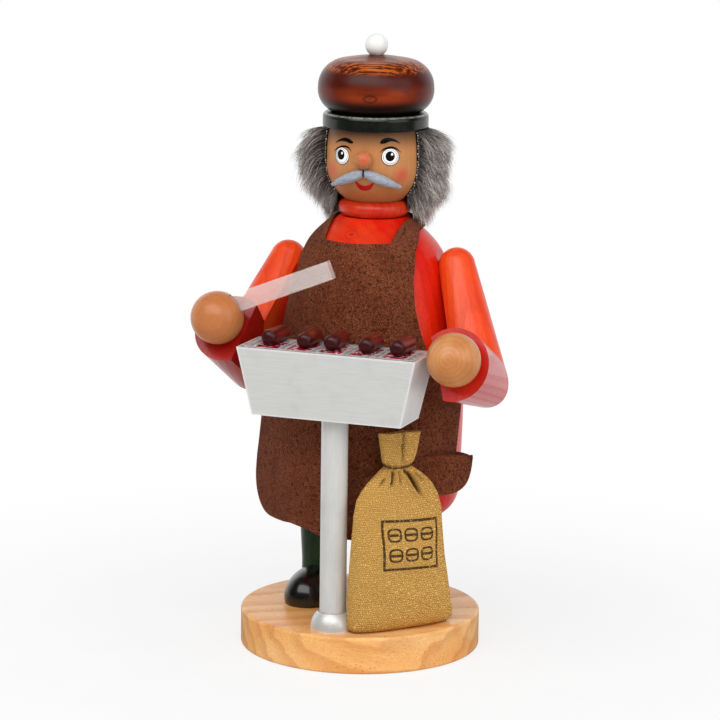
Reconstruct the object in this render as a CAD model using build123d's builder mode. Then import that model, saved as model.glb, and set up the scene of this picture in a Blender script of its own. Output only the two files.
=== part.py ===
from build123d import *
import os
from math import cos, hypot, radians, sin, sqrt, tan

# A turned wooden incense smoker: a cook at a grill, standing on a round base.
# Origin: centre of the base's underside. +Z is up, the figure faces -Y.
# Left and right are the figure's own. Lengths are millimetres, angles degrees.

# Clearances
glue_gap = 0.05
lift_gap = 0.4
cloth_gap = 0.3
touch_gap = 0.3
peg_gap = 0.5
cut_extra = 1.0

# Base
base_radius = 52.5
base_height = 16.3
base_edge = 1.2

# Where the figure stands on the base
figure_x = -1.7
figure_y = 16.0

# Legs and shoes
leg_inset = 7.5
leg_forward = 4.0
leg_bottom_radius = 9.2
leg_top_radius = 10.6
leg_straight = 8.0
leg_rise = 40.7
leg_sink = 6.0
shoe_half_length = 18.5
shoe_end_radius = 10.4
shoe_end_angle = 70.0
shoe_axis_rise = 2.8
shoe_forward = 9.5
dowel_radius = 3.0
dowel_sink = 9.0
hip_dowel_sink = 7.0

# Hip disc, the plug that the coat is lifted from
hip_rim = 5.0
hip_thickness = 9.0
air_hole_radius = 2.5
air_hole_inset = 9.5
plate_radius = 13.0
plate_rim = 2.2
plate_thickness = 0.6
nail_radius = 0.8
nail_head_radius = 2.2
nail_head = 0.7
nail_length = 7.0

# Coat
coat_height = 130.7
coat_lift = 0.5
belly_radius = 40.3
belly_rise = 53.0
waist_tuck = 2.0
waist_rise = 81.0
chest_tuck = 7.1
chest_drop = 24.9
shoulder_tuck = 10.0
shoulder_drop = 16.2
slope_share = 0.45
slope_drop = 6.0
neck_radius = 15.0
neck_slope = 0.85
hem_tuck = 1.4
hem_round = 9.5
hem_inset = 5.4
chamber_step = 4.5
chamber_height = 78.0
chamber_cone = 20.0
arm_facet = {"right": 1.6, "left": 1.0}
outline_steps = 12
reach_steps = 40

# Collar, neck and head
collar_radius = 15.8
collar_height = 7.2
tube_radius = 9.0
tube_bore = 4.0
tube_sink = 12.0
tube_rise = 11.5
head_radius = 21.0
head_top_radius = 20.0
head_seat_radius = 12.6
head_height = 31.4
head_widest_rise = 17.6
jaw_radius = 18.7
jaw_rise = 6.5
face_turn = 8.0
smoke_hole_radius = 1.5
smoke_hole_rise = 13.6
nose_radius = 4.0
nose_rise = 19.6
nose_out = 1.6
nose_sink = 0.4
nose_peg_radius = 1.5
nose_peg_length = 6.0
moustache_rise = 13.8
moustache_droop = 6.0
moustache_angle = 43.0
moustache_inner_angle = 1.2
moustache_thick = 2.4
moustache_girth = (0.7, 1.0, 0.95, 0.7, 0.33)
moustache_out = 1.0

# Fur hair
hair_face_angle = 77.0
hair_outline = ((27.0, touch_gap), (33.0, 7.6), (34.0, 16.6), (32.6, 29.6), (29.0, 39.6), (22.8, 38.1))
hair_collar_gap = 3.0
hair_collar_drop = 32.4
hair_jaw_drop = 20.6

# Cap
brim_radius = 23.0
brim_thickness = 6.7
brim_top_round = 2.2
brim_bottom_round = 1.0
crown_radius = 25.2
crown_seat_radius = 19.0
crown_height = 24.9
crown_widest_rise = 10.8
crown_low_radius = 23.6
crown_low_rise = 3.9
crown_dome_radius = 15.2
crown_dome_drop = 2.2
pompom_radius = 5.0
pompom_sink = 1.2
pompom_peg_radius = 1.6
pompom_peg_length = 6.0
hat_dowel_radius = 4.0
hat_dowel_length = 24.0
hat_dowel_sink = 8.0

# Arms
arm_dome_radius = 8.0
arm_end_radius = 15.7
arm_upper_length = {"right": 45.0, "left": 48.0}
arm_fore_length = {"right": 25.0, "left": 36.5}
arm_flat = 7.2
arm_drop = {"right": 22.0, "left": 19.8}
arm_forward = {"right": 37.0, "left": 19.5}
arm_outward = {"right": 12.5, "left": 19.5}
arm_side = {"right": -1, "left": 1}
shoulder_dowel_coat = 8.0
shoulder_dowel_arm = 8.0
hand_radius = 11.5
hand_stand = 8.5
hand_offset = 3.0
wrist_dowel_radius = 2.5
wrist_dowel_fore = 8.0
wrist_dowel_hand = 5.0

# Tongs
tongs_width = 8.0
tongs_thickness = 0.6
tongs_bend = 1.3
tongs_length = 56.0
tongs_opening = 6.0
tongs_step = 1.0
tongs_slot_gap = 0.75
tongs_rise = 22.0
tongs_start = 3.0
tongs_raise = 3.5
tongs_back = 2.0

# Grill
post_radius = 5.75
post_spigot_radius = 4.0
post_spigot_length = 8.0
foot_radius = 9.6
foot_top_radius = 6.6
foot_height = 7.6
foot_bell_radius = 8.9
foot_bell_rise = 4.2
grill_taper = 13.3
grill_bottom_depth = 22.0
grill_overhang = 0.2
grill_top_depth = 25.2
grill_height = 29.1
grill_rise = 93.2
grill_rim = 2.6
grill_offset = 4.0
ember_thickness = 1.8
grate_thickness = 0.3
window_count = 5
window_margin = 4.1
window_bar = 3.7
window_depth = 17.6
wire_count = 4
wire_pitch = 4.4
wire_width = 0.6
sausage_radius = 3.55
sausage_length = 17.5
sausage_round = 2.8
sausage_flat = 0.3
sausage_back = 3.0
sausage_yaw = (5.0, 0.0, -1.0, -2.0, 1.0)
sausage_shift = (0.0, 1.4, -0.7, 0.6, 0.6)

# Apron
apron_thickness = 1.3
apron_hem_rise = 36.0
apron_crease_rise = 61.0
apron_crease = 6.0
apron_lap = 1.0
apron_lap_thickness = 0.9
apron_split = {"right": 36.0, "left": 62.0}
apron_side_angle = 88.0
apron_right_flare = (75.0, 82.0, 130.0)
apron_left_flare = (-140.0, -60.0)
apron_corner = {"right": 10.0, "left": 16.0}
apron_steps = 14
bib_inset = 3.8
bib_neck_half_width = 12.5
bib_neck_drop = 7.5
bib_waist_drop = 38.0
bib_spread = 5.0
bib_hip_drop = 53.0
strap_inset = 2.0
strap_outset = 3.3

# Charcoal sack
sack_angle = 50.5
sack_post_gap = 1.7
sack_width = 50.5
sack_heights = (0.0, 0.12, 0.45, 0.75, 0.87)
sack_widths = (0.91, 1.0, 0.93, 0.83, 0.68)
sack_thicknesses = (12.0, 14.0, 13.0, 12.0, 12.0)
sack_neck_radius = 5.4
sack_neck_rise = 71.4
sack_top_rise = 83.5
sack_flare_width = 22.0
sack_flare_thickness = 7.0
tie_radius = 0.7

# Radii that follow the belly
waist_radius = belly_radius - waist_tuck
chest_radius = belly_radius - chest_tuck
shoulder_radius = belly_radius - shoulder_tuck
slope_radius = neck_radius + slope_share * (shoulder_radius - neck_radius)
hem_radius = belly_radius - hem_tuck
hip_radius = hem_radius - hem_inset - hip_rim
chamber_radius = hip_radius - chamber_step
air_hole_circle = hip_radius - air_hole_inset
leg_spread = hip_radius - leg_inset
bib_half_width = shoulder_radius - bib_inset
bib_hip_half_width = bib_half_width + bib_spread
strap_inner_radius = neck_radius + strap_inset
strap_outer_radius = shoulder_radius - strap_outset

# Widths of the grill, which spans the belly
grill_top_width = 2 * belly_radius + grill_overhang
grill_bottom_width = grill_top_width - grill_taper
tray_width = grill_top_width - 2 * grill_rim
tray_depth = grill_top_depth - 2 * grill_rim
window_pitch = (tray_width - window_margin) / window_count
window_width = window_pitch - window_bar

# Heights of the stacked pieces
hip_underside = base_height + leg_rise
hip_top = hip_underside + hip_thickness
coat_bottom = hip_underside + coat_lift
coat_top = coat_bottom + coat_height
belly_z = coat_bottom + belly_rise
collar_top = coat_top + collar_height
head_top = collar_top + head_height
brim_top = head_top + brim_thickness
crown_top = brim_top + crown_height
grill_bottom = base_height + grill_rise
grill_top = grill_bottom + grill_height
shoe_join = shoe_half_length - shoe_end_radius * (1 - cos(radians(shoe_end_angle)))
shoe_radius = shoe_end_radius * sin(radians(shoe_end_angle))
shoe_radius += shoe_join * tan(radians(90 - shoe_end_angle) / 2)
shoe_height = shoe_axis_rise + shoe_radius
shoe_top = base_height + shoe_height
tube_bottom = coat_top - tube_sink
tube_top = collar_top + tube_rise

# Places in plan
leg_y = figure_y - leg_forward
shoe_y = leg_y - shoe_forward
leg_x = {"right": figure_x - leg_spread, "left": figure_x + leg_spread}
apron_front = belly_radius + cloth_gap + apron_thickness
post_x = figure_x + grill_offset
post_y = figure_y - apron_front - lift_gap - grill_top_depth / 2

figure_axis = Axis((figure_x, figure_y, 0), (0, 0, 1))
figure_plane = Plane(origin=(figure_x, figure_y, 0), x_dir=(1, 0, 0), z_dir=(0, -1, 0))
face_dir = Vector(0, -1, 0).rotate(Axis.Z, face_turn)

os.makedirs("parts", exist_ok=True)


def save(piece, name):
    """Label a finished piece and write it under its own name."""
    piece.part.label = name
    export_step(piece.part, f"parts/{name}.step")


def figure_level(z):
    """A horizontal plane on the figure's axis."""
    return Plane(origin=(figure_x, figure_y, z))


# Base disc
with BuildPart() as base_disc:
    Cylinder(base_radius, base_height, align=(Align.CENTER, Align.CENTER, Align.MIN))
    fillet(base_disc.edges().filter_by(GeomType.CIRCLE), base_edge)
    with Locations(*[(x, leg_y, base_height) for x in leg_x.values()]):
        Hole(dowel_radius + glue_gap, dowel_sink)
    with Locations((post_x, post_y, base_height)):
        Hole(post_spigot_radius + glue_gap, post_spigot_length)
save(base_disc, "base_disc")

# Shoes, legs and their dowels
leg_foot = shoe_top - leg_sink
for name, x in leg_x.items():
    shoe_axis_z = base_height + shoe_axis_rise
    shoe_plane = Plane(origin=(x, shoe_y, shoe_axis_z), x_dir=(0, 1, 0), z_dir=(1, 0, 0))
    with BuildPart() as shoe:
        with BuildSketch(shoe_plane):
            with BuildLine():
                heel = CenterArc(
                    (shoe_end_radius - shoe_half_length, 0), shoe_end_radius, 180, -shoe_end_angle
                )
                side_arc = TangentArc(heel @ 1, (-(heel @ 1).X, (heel @ 1).Y), tangent=heel % 1)
                toe = TangentArc(side_arc @ 1, (shoe_half_length, 0), tangent=side_arc % 1)
                Line(toe @ 1, heel @ 0)
            make_face()
        revolve(axis=Axis((x, 0, shoe_axis_z), (0, 1, 0)))
        split(bisect_by=Plane.XY.offset(base_height), keep=Keep.TOP)
        with BuildSketch(Plane(origin=(x, leg_y, leg_foot))):
            Circle(leg_bottom_radius + glue_gap)
        extrude(amount=shoe_height, mode=Mode.SUBTRACT)
        with BuildSketch(Plane(origin=(x, leg_y, base_height))):
            Circle(dowel_radius + glue_gap)
        extrude(amount=shoe_height, mode=Mode.SUBTRACT)
    save(shoe, f"{name}_shoe")

    with BuildPart() as leg:
        with BuildSketch(Plane(origin=(x, leg_y, 0), x_dir=(1, 0, 0), z_dir=(0, -1, 0))):
            with BuildLine():
                Polyline(
                    (0, leg_foot),
                    (leg_bottom_radius, leg_foot),
                    (leg_bottom_radius, leg_foot + leg_straight),
                    (leg_top_radius, hip_underside),
                    (0, hip_underside),
                    close=True,
                )
            make_face()
        revolve(axis=Axis((x, leg_y, 0), (0, 0, 1)))
        with Locations((x, leg_y, hip_underside)):
            Hole(dowel_radius + glue_gap)
    save(leg, f"{name}_leg")

    with BuildPart() as leg_dowel:
        with BuildSketch(Plane(origin=(x, leg_y, base_height - dowel_sink))):
            Circle(dowel_radius)
        extrude(amount=dowel_sink + leg_rise + hip_dowel_sink)
    save(leg_dowel, f"{name}_leg_dowel")

# Hip disc with the incense plate nailed on it
with BuildPart() as hip_disc:
    with BuildSketch(figure_level(hip_underside)):
        Circle(hip_radius)
    extrude(amount=hip_thickness)
    with Locations(figure_level(hip_top)):
        with PolarLocations(air_hole_circle, 2, start_angle=90, angular_range=180):
            Hole(air_hole_radius)
        Hole(nail_radius, nail_length)
    with Locations(*[Location((x, leg_y, hip_underside), (180, 0, 0)) for x in leg_x.values()]):
        Hole(dowel_radius + glue_gap, hip_dowel_sink)
save(hip_disc, "hip_disc")

with BuildPart() as incense_plate:
    with BuildSketch(figure_plane):
        with BuildLine():
            Polyline(
                (nail_radius, hip_top),
                (plate_radius, hip_top),
                (plate_radius + plate_rim, hip_top + plate_rim),
                (plate_radius + plate_rim - plate_thickness, hip_top + plate_rim),
                (plate_radius - plate_thickness / 2, hip_top + plate_thickness),
                (nail_radius, hip_top + plate_thickness),
                close=True,
            )
        make_face()
    revolve(axis=figure_axis)
save(incense_plate, "incense_plate")

with BuildPart() as plate_nail:
    with BuildSketch(figure_level(hip_top - nail_length)):
        Circle(nail_radius - glue_gap)
    extrude(amount=nail_length + plate_thickness)
    with BuildSketch(figure_level(hip_top + plate_thickness)):
        Circle(nail_head_radius)
    extrude(amount=nail_head)
save(plate_nail, "plate_nail")

# Grill post and its bell foot
with BuildPart() as grill_post:
    with BuildSketch(Plane(origin=(post_x, post_y, base_height))):
        Circle(post_radius)
    extrude(amount=grill_rise)
    with BuildSketch(Plane(origin=(post_x, post_y, base_height - post_spigot_length))):
        Circle(post_spigot_radius)
    extrude(amount=grill_rise + 2 * post_spigot_length)
save(grill_post, "grill_post")

with BuildPart() as grill_post_foot:
    with BuildSketch(Plane(origin=(post_x, post_y, base_height), x_dir=(1, 0, 0), z_dir=(0, -1, 0))):
        with BuildLine():
            Line((post_radius + glue_gap, 0), (foot_radius, 0))
            ThreePointArc(
                (foot_radius, 0),
                (foot_bell_radius, foot_bell_rise),
                (foot_top_radius, foot_height),
            )
            Line((foot_top_radius, foot_height), (post_radius + glue_gap, foot_height))
            Line((post_radius + glue_gap, foot_height), (post_radius + glue_gap, 0))
        make_face()
    revolve(axis=Axis((post_x, post_y, 0), (0, 0, 1)))
save(grill_post_foot, "grill_post_foot")

# Grill box with its embers, grate and sausages
with BuildPart() as grill_box:
    with BuildSketch(Plane(origin=(post_x, post_y, grill_bottom))):
        Rectangle(grill_bottom_width, grill_bottom_depth)
    with BuildSketch(Plane(origin=(post_x, post_y, grill_top))):
        Rectangle(grill_top_width, grill_top_depth)
    loft()
    with BuildSketch(Plane(origin=(post_x, post_y, grill_top))):
        Rectangle(tray_width, tray_depth)
    extrude(amount=-(ember_thickness + grate_thickness), mode=Mode.SUBTRACT)
    with BuildSketch(Plane(origin=(post_x, post_y, grill_bottom))):
        Circle(post_spigot_radius + glue_gap)
    extrude(amount=post_spigot_length, mode=Mode.SUBTRACT)
save(grill_box, "grill_box")

with BuildPart() as ember_panel:
    with BuildSketch(Plane(origin=(post_x, post_y, grill_top - grate_thickness - ember_thickness))):
        Rectangle(tray_width - 2 * glue_gap, tray_depth - 2 * glue_gap)
    extrude(amount=ember_thickness)
save(ember_panel, "ember_panel")

with BuildPart() as grill_grate:
    with BuildSketch(Plane(origin=(post_x, post_y, grill_top - grate_thickness))):
        Rectangle(tray_width - 2 * glue_gap, tray_depth - 2 * glue_gap)
        with GridLocations(window_pitch, 0, window_count, 1):
            Rectangle(window_width, window_depth, mode=Mode.SUBTRACT)
        with GridLocations(0, wire_pitch, 1, wire_count):
            Rectangle(tray_width - 4 * glue_gap, wire_width)
    extrude(amount=grate_thickness)
save(grill_grate, "grill_grate")

sausage_z = grill_top + sausage_radius - sausage_flat
for place, yaw in enumerate(sausage_yaw):
    sausage_x = post_x + (place - (window_count - 1) / 2) * window_pitch + sausage_shift[place]
    sausage_dir = Vector(0, 1, 0).rotate(Axis.Z, -yaw)
    sausage_start = Vector(sausage_x, post_y + sausage_back, sausage_z) - sausage_dir * (sausage_length / 2)
    with BuildPart() as sausage:
        with BuildSketch(Plane(origin=sausage_start, z_dir=sausage_dir)):
            Circle(sausage_radius)
        extrude(amount=sausage_length)
        fillet(sausage.edges().filter_by(GeomType.CIRCLE), sausage_round)
        split(bisect_by=Plane.XY.offset(grill_top), keep=Keep.TOP)
    save(sausage, f"sausage_{place + 1}")

# Charcoal sack with its tie, standing beside the post against the apron
sack_dir = Vector(1, 0, 0).rotate(Axis.Z, sack_angle)
sack_out = Vector(0, -1, 0).rotate(Axis.Z, sack_angle)
shoe_reach = Vector(leg_spread, shoe_y - figure_y).dot(sack_out)
shoe_reach += hypot(shoe_radius * sack_out.X, shoe_half_length * sack_out.Y)
sack_back = max(apron_front + lift_gap, shoe_reach + touch_gap)
post_place = Vector(post_x - figure_x, post_y - figure_y)
sack_step = sack_back + sack_thicknesses[0] / 2 - post_place.dot(sack_out)
sack_slide = post_place.dot(sack_dir) + sqrt(max((foot_radius + sack_post_gap) ** 2 - sack_step**2, 0))
sack_slide += sack_widths[0] * sack_width / 2


def sack_level(rise, thickness):
    """A plane across the sack, with the sack's back held clear of the apron."""
    centre = Vector(figure_x, figure_y, base_height + rise)
    centre += sack_out * (sack_back + thickness / 2) + sack_dir * sack_slide
    return Plane(origin=centre, x_dir=sack_dir)


# Rings of the sack: height, width and thickness
sack_rings = []
for high, wide, thickness in zip(sack_heights, sack_widths, sack_thicknesses):
    sack_rings.append((high * sack_neck_rise, wide * sack_width, thickness))
for rise in (sack_neck_rise - 2 * tie_radius, sack_neck_rise + 2 * tie_radius):
    sack_rings.append((rise, 2 * sack_neck_radius, 2 * sack_neck_radius))
sack_rings.append((sack_top_rise, sack_flare_width, sack_flare_thickness))
with BuildPart() as charcoal_sack:
    for rise, width, thickness in sack_rings:
        with BuildSketch(sack_level(rise, thickness)):
            Ellipse(width / 2, thickness / 2)
    loft(ruled=True)
save(charcoal_sack, "charcoal_sack")

with BuildPart() as sack_tie:
    with Locations(sack_level(sack_neck_rise, 2 * sack_neck_radius)):
        Torus(sack_neck_radius + tie_radius + glue_gap, tie_radius)
save(sack_tie, "sack_tie")

# Outline of the coat from the neck down to the belly, in plan radius and height
coat_side = Spline(
    (neck_radius, coat_top),
    (slope_radius, coat_top - slope_drop),
    (shoulder_radius, coat_top - shoulder_drop),
    (chest_radius, coat_top - chest_drop),
    (waist_radius, coat_bottom + waist_rise),
    (belly_radius, belly_z),
    tangents=((1, -neck_slope), (0, -1)),
)


def coat_side_moved(distance):
    """The coat's outline moved outwards by a distance."""
    points = []
    for step in range(outline_steps + 1):
        at = step / outline_steps
        tangent = coat_side % at
        points.append((coat_side @ at) + Vector(-tangent.Y, tangent.X) * distance)
    return Spline(*points)


def coat_reach(direction):
    """How far the coat reaches from the origin in a direction."""
    flat = hypot(direction.X, direction.Y)
    centre = Vector(figure_x, figure_y, 0).dot(direction)
    points = [coat_side @ (step / reach_steps) for step in range(reach_steps + 1)]
    return centre + max(point.X * flat + point.Y * direction.Z for point in points)


# Arm geometry: a tapered sleeve, sawn at 45 degrees and glued to an elbow, planed flat inside
arm_frames = {}
for name, side in arm_side.items():
    upper = Vector(side * tan(radians(arm_outward[name])), -tan(radians(arm_forward[name])), -1)
    upper = upper.normalized()
    fore = Vector(0, upper.Z, -upper.Y).normalized()
    outward = fore.cross(upper) * side
    shoulder = Vector(figure_x + side * belly_radius, figure_y, coat_top - arm_drop[name])
    seat = coat_reach(outward) - arm_facet[name]
    shoulder += Vector(side, 0, 0) * ((seat + arm_flat - shoulder.dot(outward)) / (outward.X * side))
    elbow = shoulder + upper * arm_upper_length[name]
    total = arm_upper_length[name] + arm_fore_length[name]
    taper = (arm_end_radius - arm_dome_radius) / total
    elbow_radius = arm_dome_radius + taper * arm_upper_length[name]
    elbow_shift = 2 * elbow_radius * taper / (1 - taper**2)
    wrist = elbow + (upper - fore) * elbow_shift + fore * arm_fore_length[name]
    arm_frames[name] = (shoulder, upper, fore, outward, elbow, wrist, total)

# Coat: a hollow turned body, open below, with a flue to the neck
with BuildPart() as coat:
    with BuildSketch(figure_plane):
        with BuildLine():
            add(coat_side)
            hem_arc = TangentArc(
                (belly_radius, belly_z), (hem_radius, coat_bottom + hem_round), tangent=(0, -1)
            )
            TangentArc(
                hem_arc @ 1, (hem_radius - hem_inset, coat_bottom), tangent=hem_arc % 1
            )
            Polyline(
                (hem_radius - hem_inset, coat_bottom),
                (hip_radius + lift_gap, coat_bottom),
                (hip_radius + lift_gap, hip_top),
                (chamber_radius, hip_top),
                (chamber_radius, hip_top + chamber_height),
                (tube_bore, hip_top + chamber_height + chamber_cone),
                (tube_bore, tube_bottom),
                (tube_radius + glue_gap, tube_bottom),
                (tube_radius + glue_gap, coat_top),
                (neck_radius, coat_top),
            )
        make_face()
    revolve(axis=figure_axis)
    for shoulder, upper, fore, outward, elbow, wrist, total in arm_frames.values():
        split(bisect_by=Plane(origin=shoulder - outward * arm_flat, z_dir=outward), keep=Keep.BOTTOM)
        with BuildSketch(Plane(origin=shoulder - outward * arm_flat, z_dir=outward)):
            Circle(dowel_radius + glue_gap)
        extrude(amount=-shoulder_dowel_coat, mode=Mode.SUBTRACT)
save(coat, "coat")

# Collar and the hollow neck tube
with BuildPart() as collar:
    with BuildSketch(figure_plane):
        with BuildLine():
            Polyline(
                (collar_radius - collar_height / 2, coat_top),
                (tube_radius + glue_gap, coat_top),
                (tube_radius + glue_gap, collar_top),
                (collar_radius - collar_height / 2, collar_top),
            )
            ThreePointArc(
                (collar_radius - collar_height / 2, collar_top),
                (collar_radius, (coat_top + collar_top) / 2),
                (collar_radius - collar_height / 2, coat_top),
            )
        make_face()
    revolve(axis=figure_axis)
save(collar, "collar")

with BuildPart() as neck_tube:
    with BuildSketch(figure_level(tube_bottom)):
        Circle(tube_radius)
        Circle(tube_bore, mode=Mode.SUBTRACT)
    extrude(amount=tube_top - tube_bottom)
save(neck_tube, "neck_tube")

# Head with its flue, smoke hole, nose hole and hat hole
head_widest = collar_top + head_widest_rise
smoke_z = collar_top + smoke_hole_rise
nose_z = collar_top + nose_rise
hat_dowel_bottom = head_top - hat_dowel_sink
with BuildPart() as head:
    with BuildSketch(figure_plane):
        with BuildLine():
            jaw = ThreePointArc(
                (head_seat_radius, collar_top),
                (jaw_radius, collar_top + jaw_rise),
                (head_radius, head_widest),
            )
            TangentArc(jaw @ 1, (head_top_radius, head_top), tangent=(0, 1))
            Polyline(
                (head_top_radius, head_top),
                (0, head_top),
                (0, tube_top + tube_bore),
                (tube_bore, tube_top),
                (tube_radius + glue_gap, tube_top),
                (tube_radius + glue_gap, collar_top),
                (head_seat_radius, collar_top),
            )
        make_face()
    revolve(axis=figure_axis)
    with BuildSketch(figure_level(hat_dowel_bottom)):
        Circle(hat_dowel_radius + glue_gap)
    extrude(amount=hat_dowel_length, mode=Mode.SUBTRACT)
    with BuildSketch(Plane(origin=(figure_x, figure_y, smoke_z), z_dir=face_dir)):
        Circle(smoke_hole_radius)
    extrude(amount=head_radius + cut_extra, mode=Mode.SUBTRACT)
    nose_root = Vector(figure_x, figure_y, nose_z) + face_dir * (head_radius - nose_peg_length)
    with BuildSketch(Plane(origin=nose_root, z_dir=face_dir)):
        Circle(nose_peg_radius + glue_gap)
    extrude(amount=nose_peg_length + cut_extra, mode=Mode.SUBTRACT)
save(head, "head")

with BuildPart() as nose:
    with Locations(Vector(figure_x, figure_y, nose_z) + face_dir * (head_radius + nose_out)):
        Sphere(nose_radius)
    split(bisect_by=Plane(origin=nose_root + face_dir * (nose_peg_length - nose_sink), z_dir=face_dir))
    add(head.part, mode=Mode.SUBTRACT)
    with BuildSketch(Plane(origin=nose_root + face_dir * peg_gap, z_dir=face_dir)):
        Circle(nose_peg_radius)
    extrude(amount=nose_peg_length + nose_out)
save(nose, "nose")

# Moustache halves, carved to the head
moustache_z = collar_top + moustache_rise
moustache_line = head_radius + moustache_out
for name, side in (("left", 1), ("right", -1)):
    with BuildPart() as moustache:
        for step, girth in enumerate(moustache_girth):
            along = step / (len(moustache_girth) - 1)
            turn = moustache_inner_angle + along * (moustache_angle - moustache_inner_angle)
            radial = face_dir.rotate(Axis.Z, side * turn)
            centre = Vector(figure_x, figure_y, moustache_z) + radial * moustache_line
            centre -= Vector(0, 0, moustache_droop * along)
            with BuildSketch(Plane(origin=centre, x_dir=radial, z_dir=radial.rotate(Axis.Z, side * 90))):
                Circle(moustache_thick * girth)
        loft()
        add(head.part, mode=Mode.SUBTRACT)
    save(moustache, f"moustache_{name}")

# Fur hair round the sides and back of the head
hair_start = face_dir.rotate(Axis.Z, hair_face_angle)
hair_plane = Plane(
    origin=(figure_x, figure_y, 0), x_dir=hair_start, z_dir=hair_start.rotate(Axis.Z, -90)
)
hair_inner = head_radius + touch_gap
with BuildPart() as hair:
    with BuildSketch(hair_plane):
        with BuildLine():
            Spline(*[(radius, head_top - drop) for radius, drop in hair_outline])
            Polyline(
                (hair_outline[-1][0], head_top - hair_outline[-1][1]),
                (collar_radius + hair_collar_gap, head_top - hair_collar_drop),
                (hair_inner, head_top - hair_jaw_drop),
                (hair_inner, head_top - touch_gap),
                (hair_outline[0][0], head_top - hair_outline[0][1]),
            )
        make_face()
    revolve(axis=figure_axis, revolution_arc=360 - 2 * hair_face_angle)
save(hair, "hair")

# Cap: brim, crown, pompom and the dowel through them
with BuildPart() as hat_brim:
    with BuildSketch(figure_level(head_top)):
        Circle(brim_radius)
        Circle(hat_dowel_radius + glue_gap, mode=Mode.SUBTRACT)
    extrude(amount=brim_thickness)
    fillet(hat_brim.edges().group_by(Axis.Z)[-1].sort_by(SortBy.RADIUS)[-1], brim_top_round)
    fillet(hat_brim.edges().group_by(Axis.Z)[0].sort_by(SortBy.RADIUS)[-1], brim_bottom_round)
save(hat_brim, "hat_brim")

crown_widest = brim_top + crown_widest_rise
with BuildPart() as hat_crown:
    with BuildSketch(figure_plane):
        with BuildLine():
            Line((0, brim_top), (crown_seat_radius, brim_top))
            ThreePointArc(
                (crown_seat_radius, brim_top),
                (crown_low_radius, brim_top + crown_low_rise),
                (crown_radius, crown_widest),
            )
            top_arc = TangentArc(
                (crown_radius, crown_widest),
                (crown_dome_radius, crown_top - crown_dome_drop),
                tangent=(0, 1),
            )
            TangentArc(top_arc @ 1, (0, crown_top), tangent=top_arc % 1)
            Line((0, crown_top), (0, brim_top))
        make_face()
    revolve(axis=figure_axis)
    with BuildSketch(figure_level(brim_top)):
        Circle(hat_dowel_radius + glue_gap)
    extrude(amount=hat_dowel_bottom + hat_dowel_length - brim_top, mode=Mode.SUBTRACT)
    with BuildSketch(figure_level(crown_top - pompom_peg_length)):
        Circle(pompom_peg_radius + glue_gap)
    extrude(amount=pompom_peg_length + cut_extra, mode=Mode.SUBTRACT)
save(hat_crown, "hat_crown")

with BuildPart() as hat_pompom:
    with Locations((figure_x, figure_y, crown_top + pompom_radius - pompom_sink)):
        Sphere(pompom_radius)
    add(hat_crown.part, mode=Mode.SUBTRACT)
    with BuildSketch(figure_level(crown_top - pompom_peg_length + peg_gap)):
        Circle(pompom_peg_radius)
    extrude(amount=pompom_peg_length)
save(hat_pompom, "hat_pompom")

with BuildPart() as hat_dowel:
    with BuildSketch(figure_level(hat_dowel_bottom)):
        Circle(hat_dowel_radius)
    extrude(amount=hat_dowel_length)
save(hat_dowel, "hat_dowel")

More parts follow.
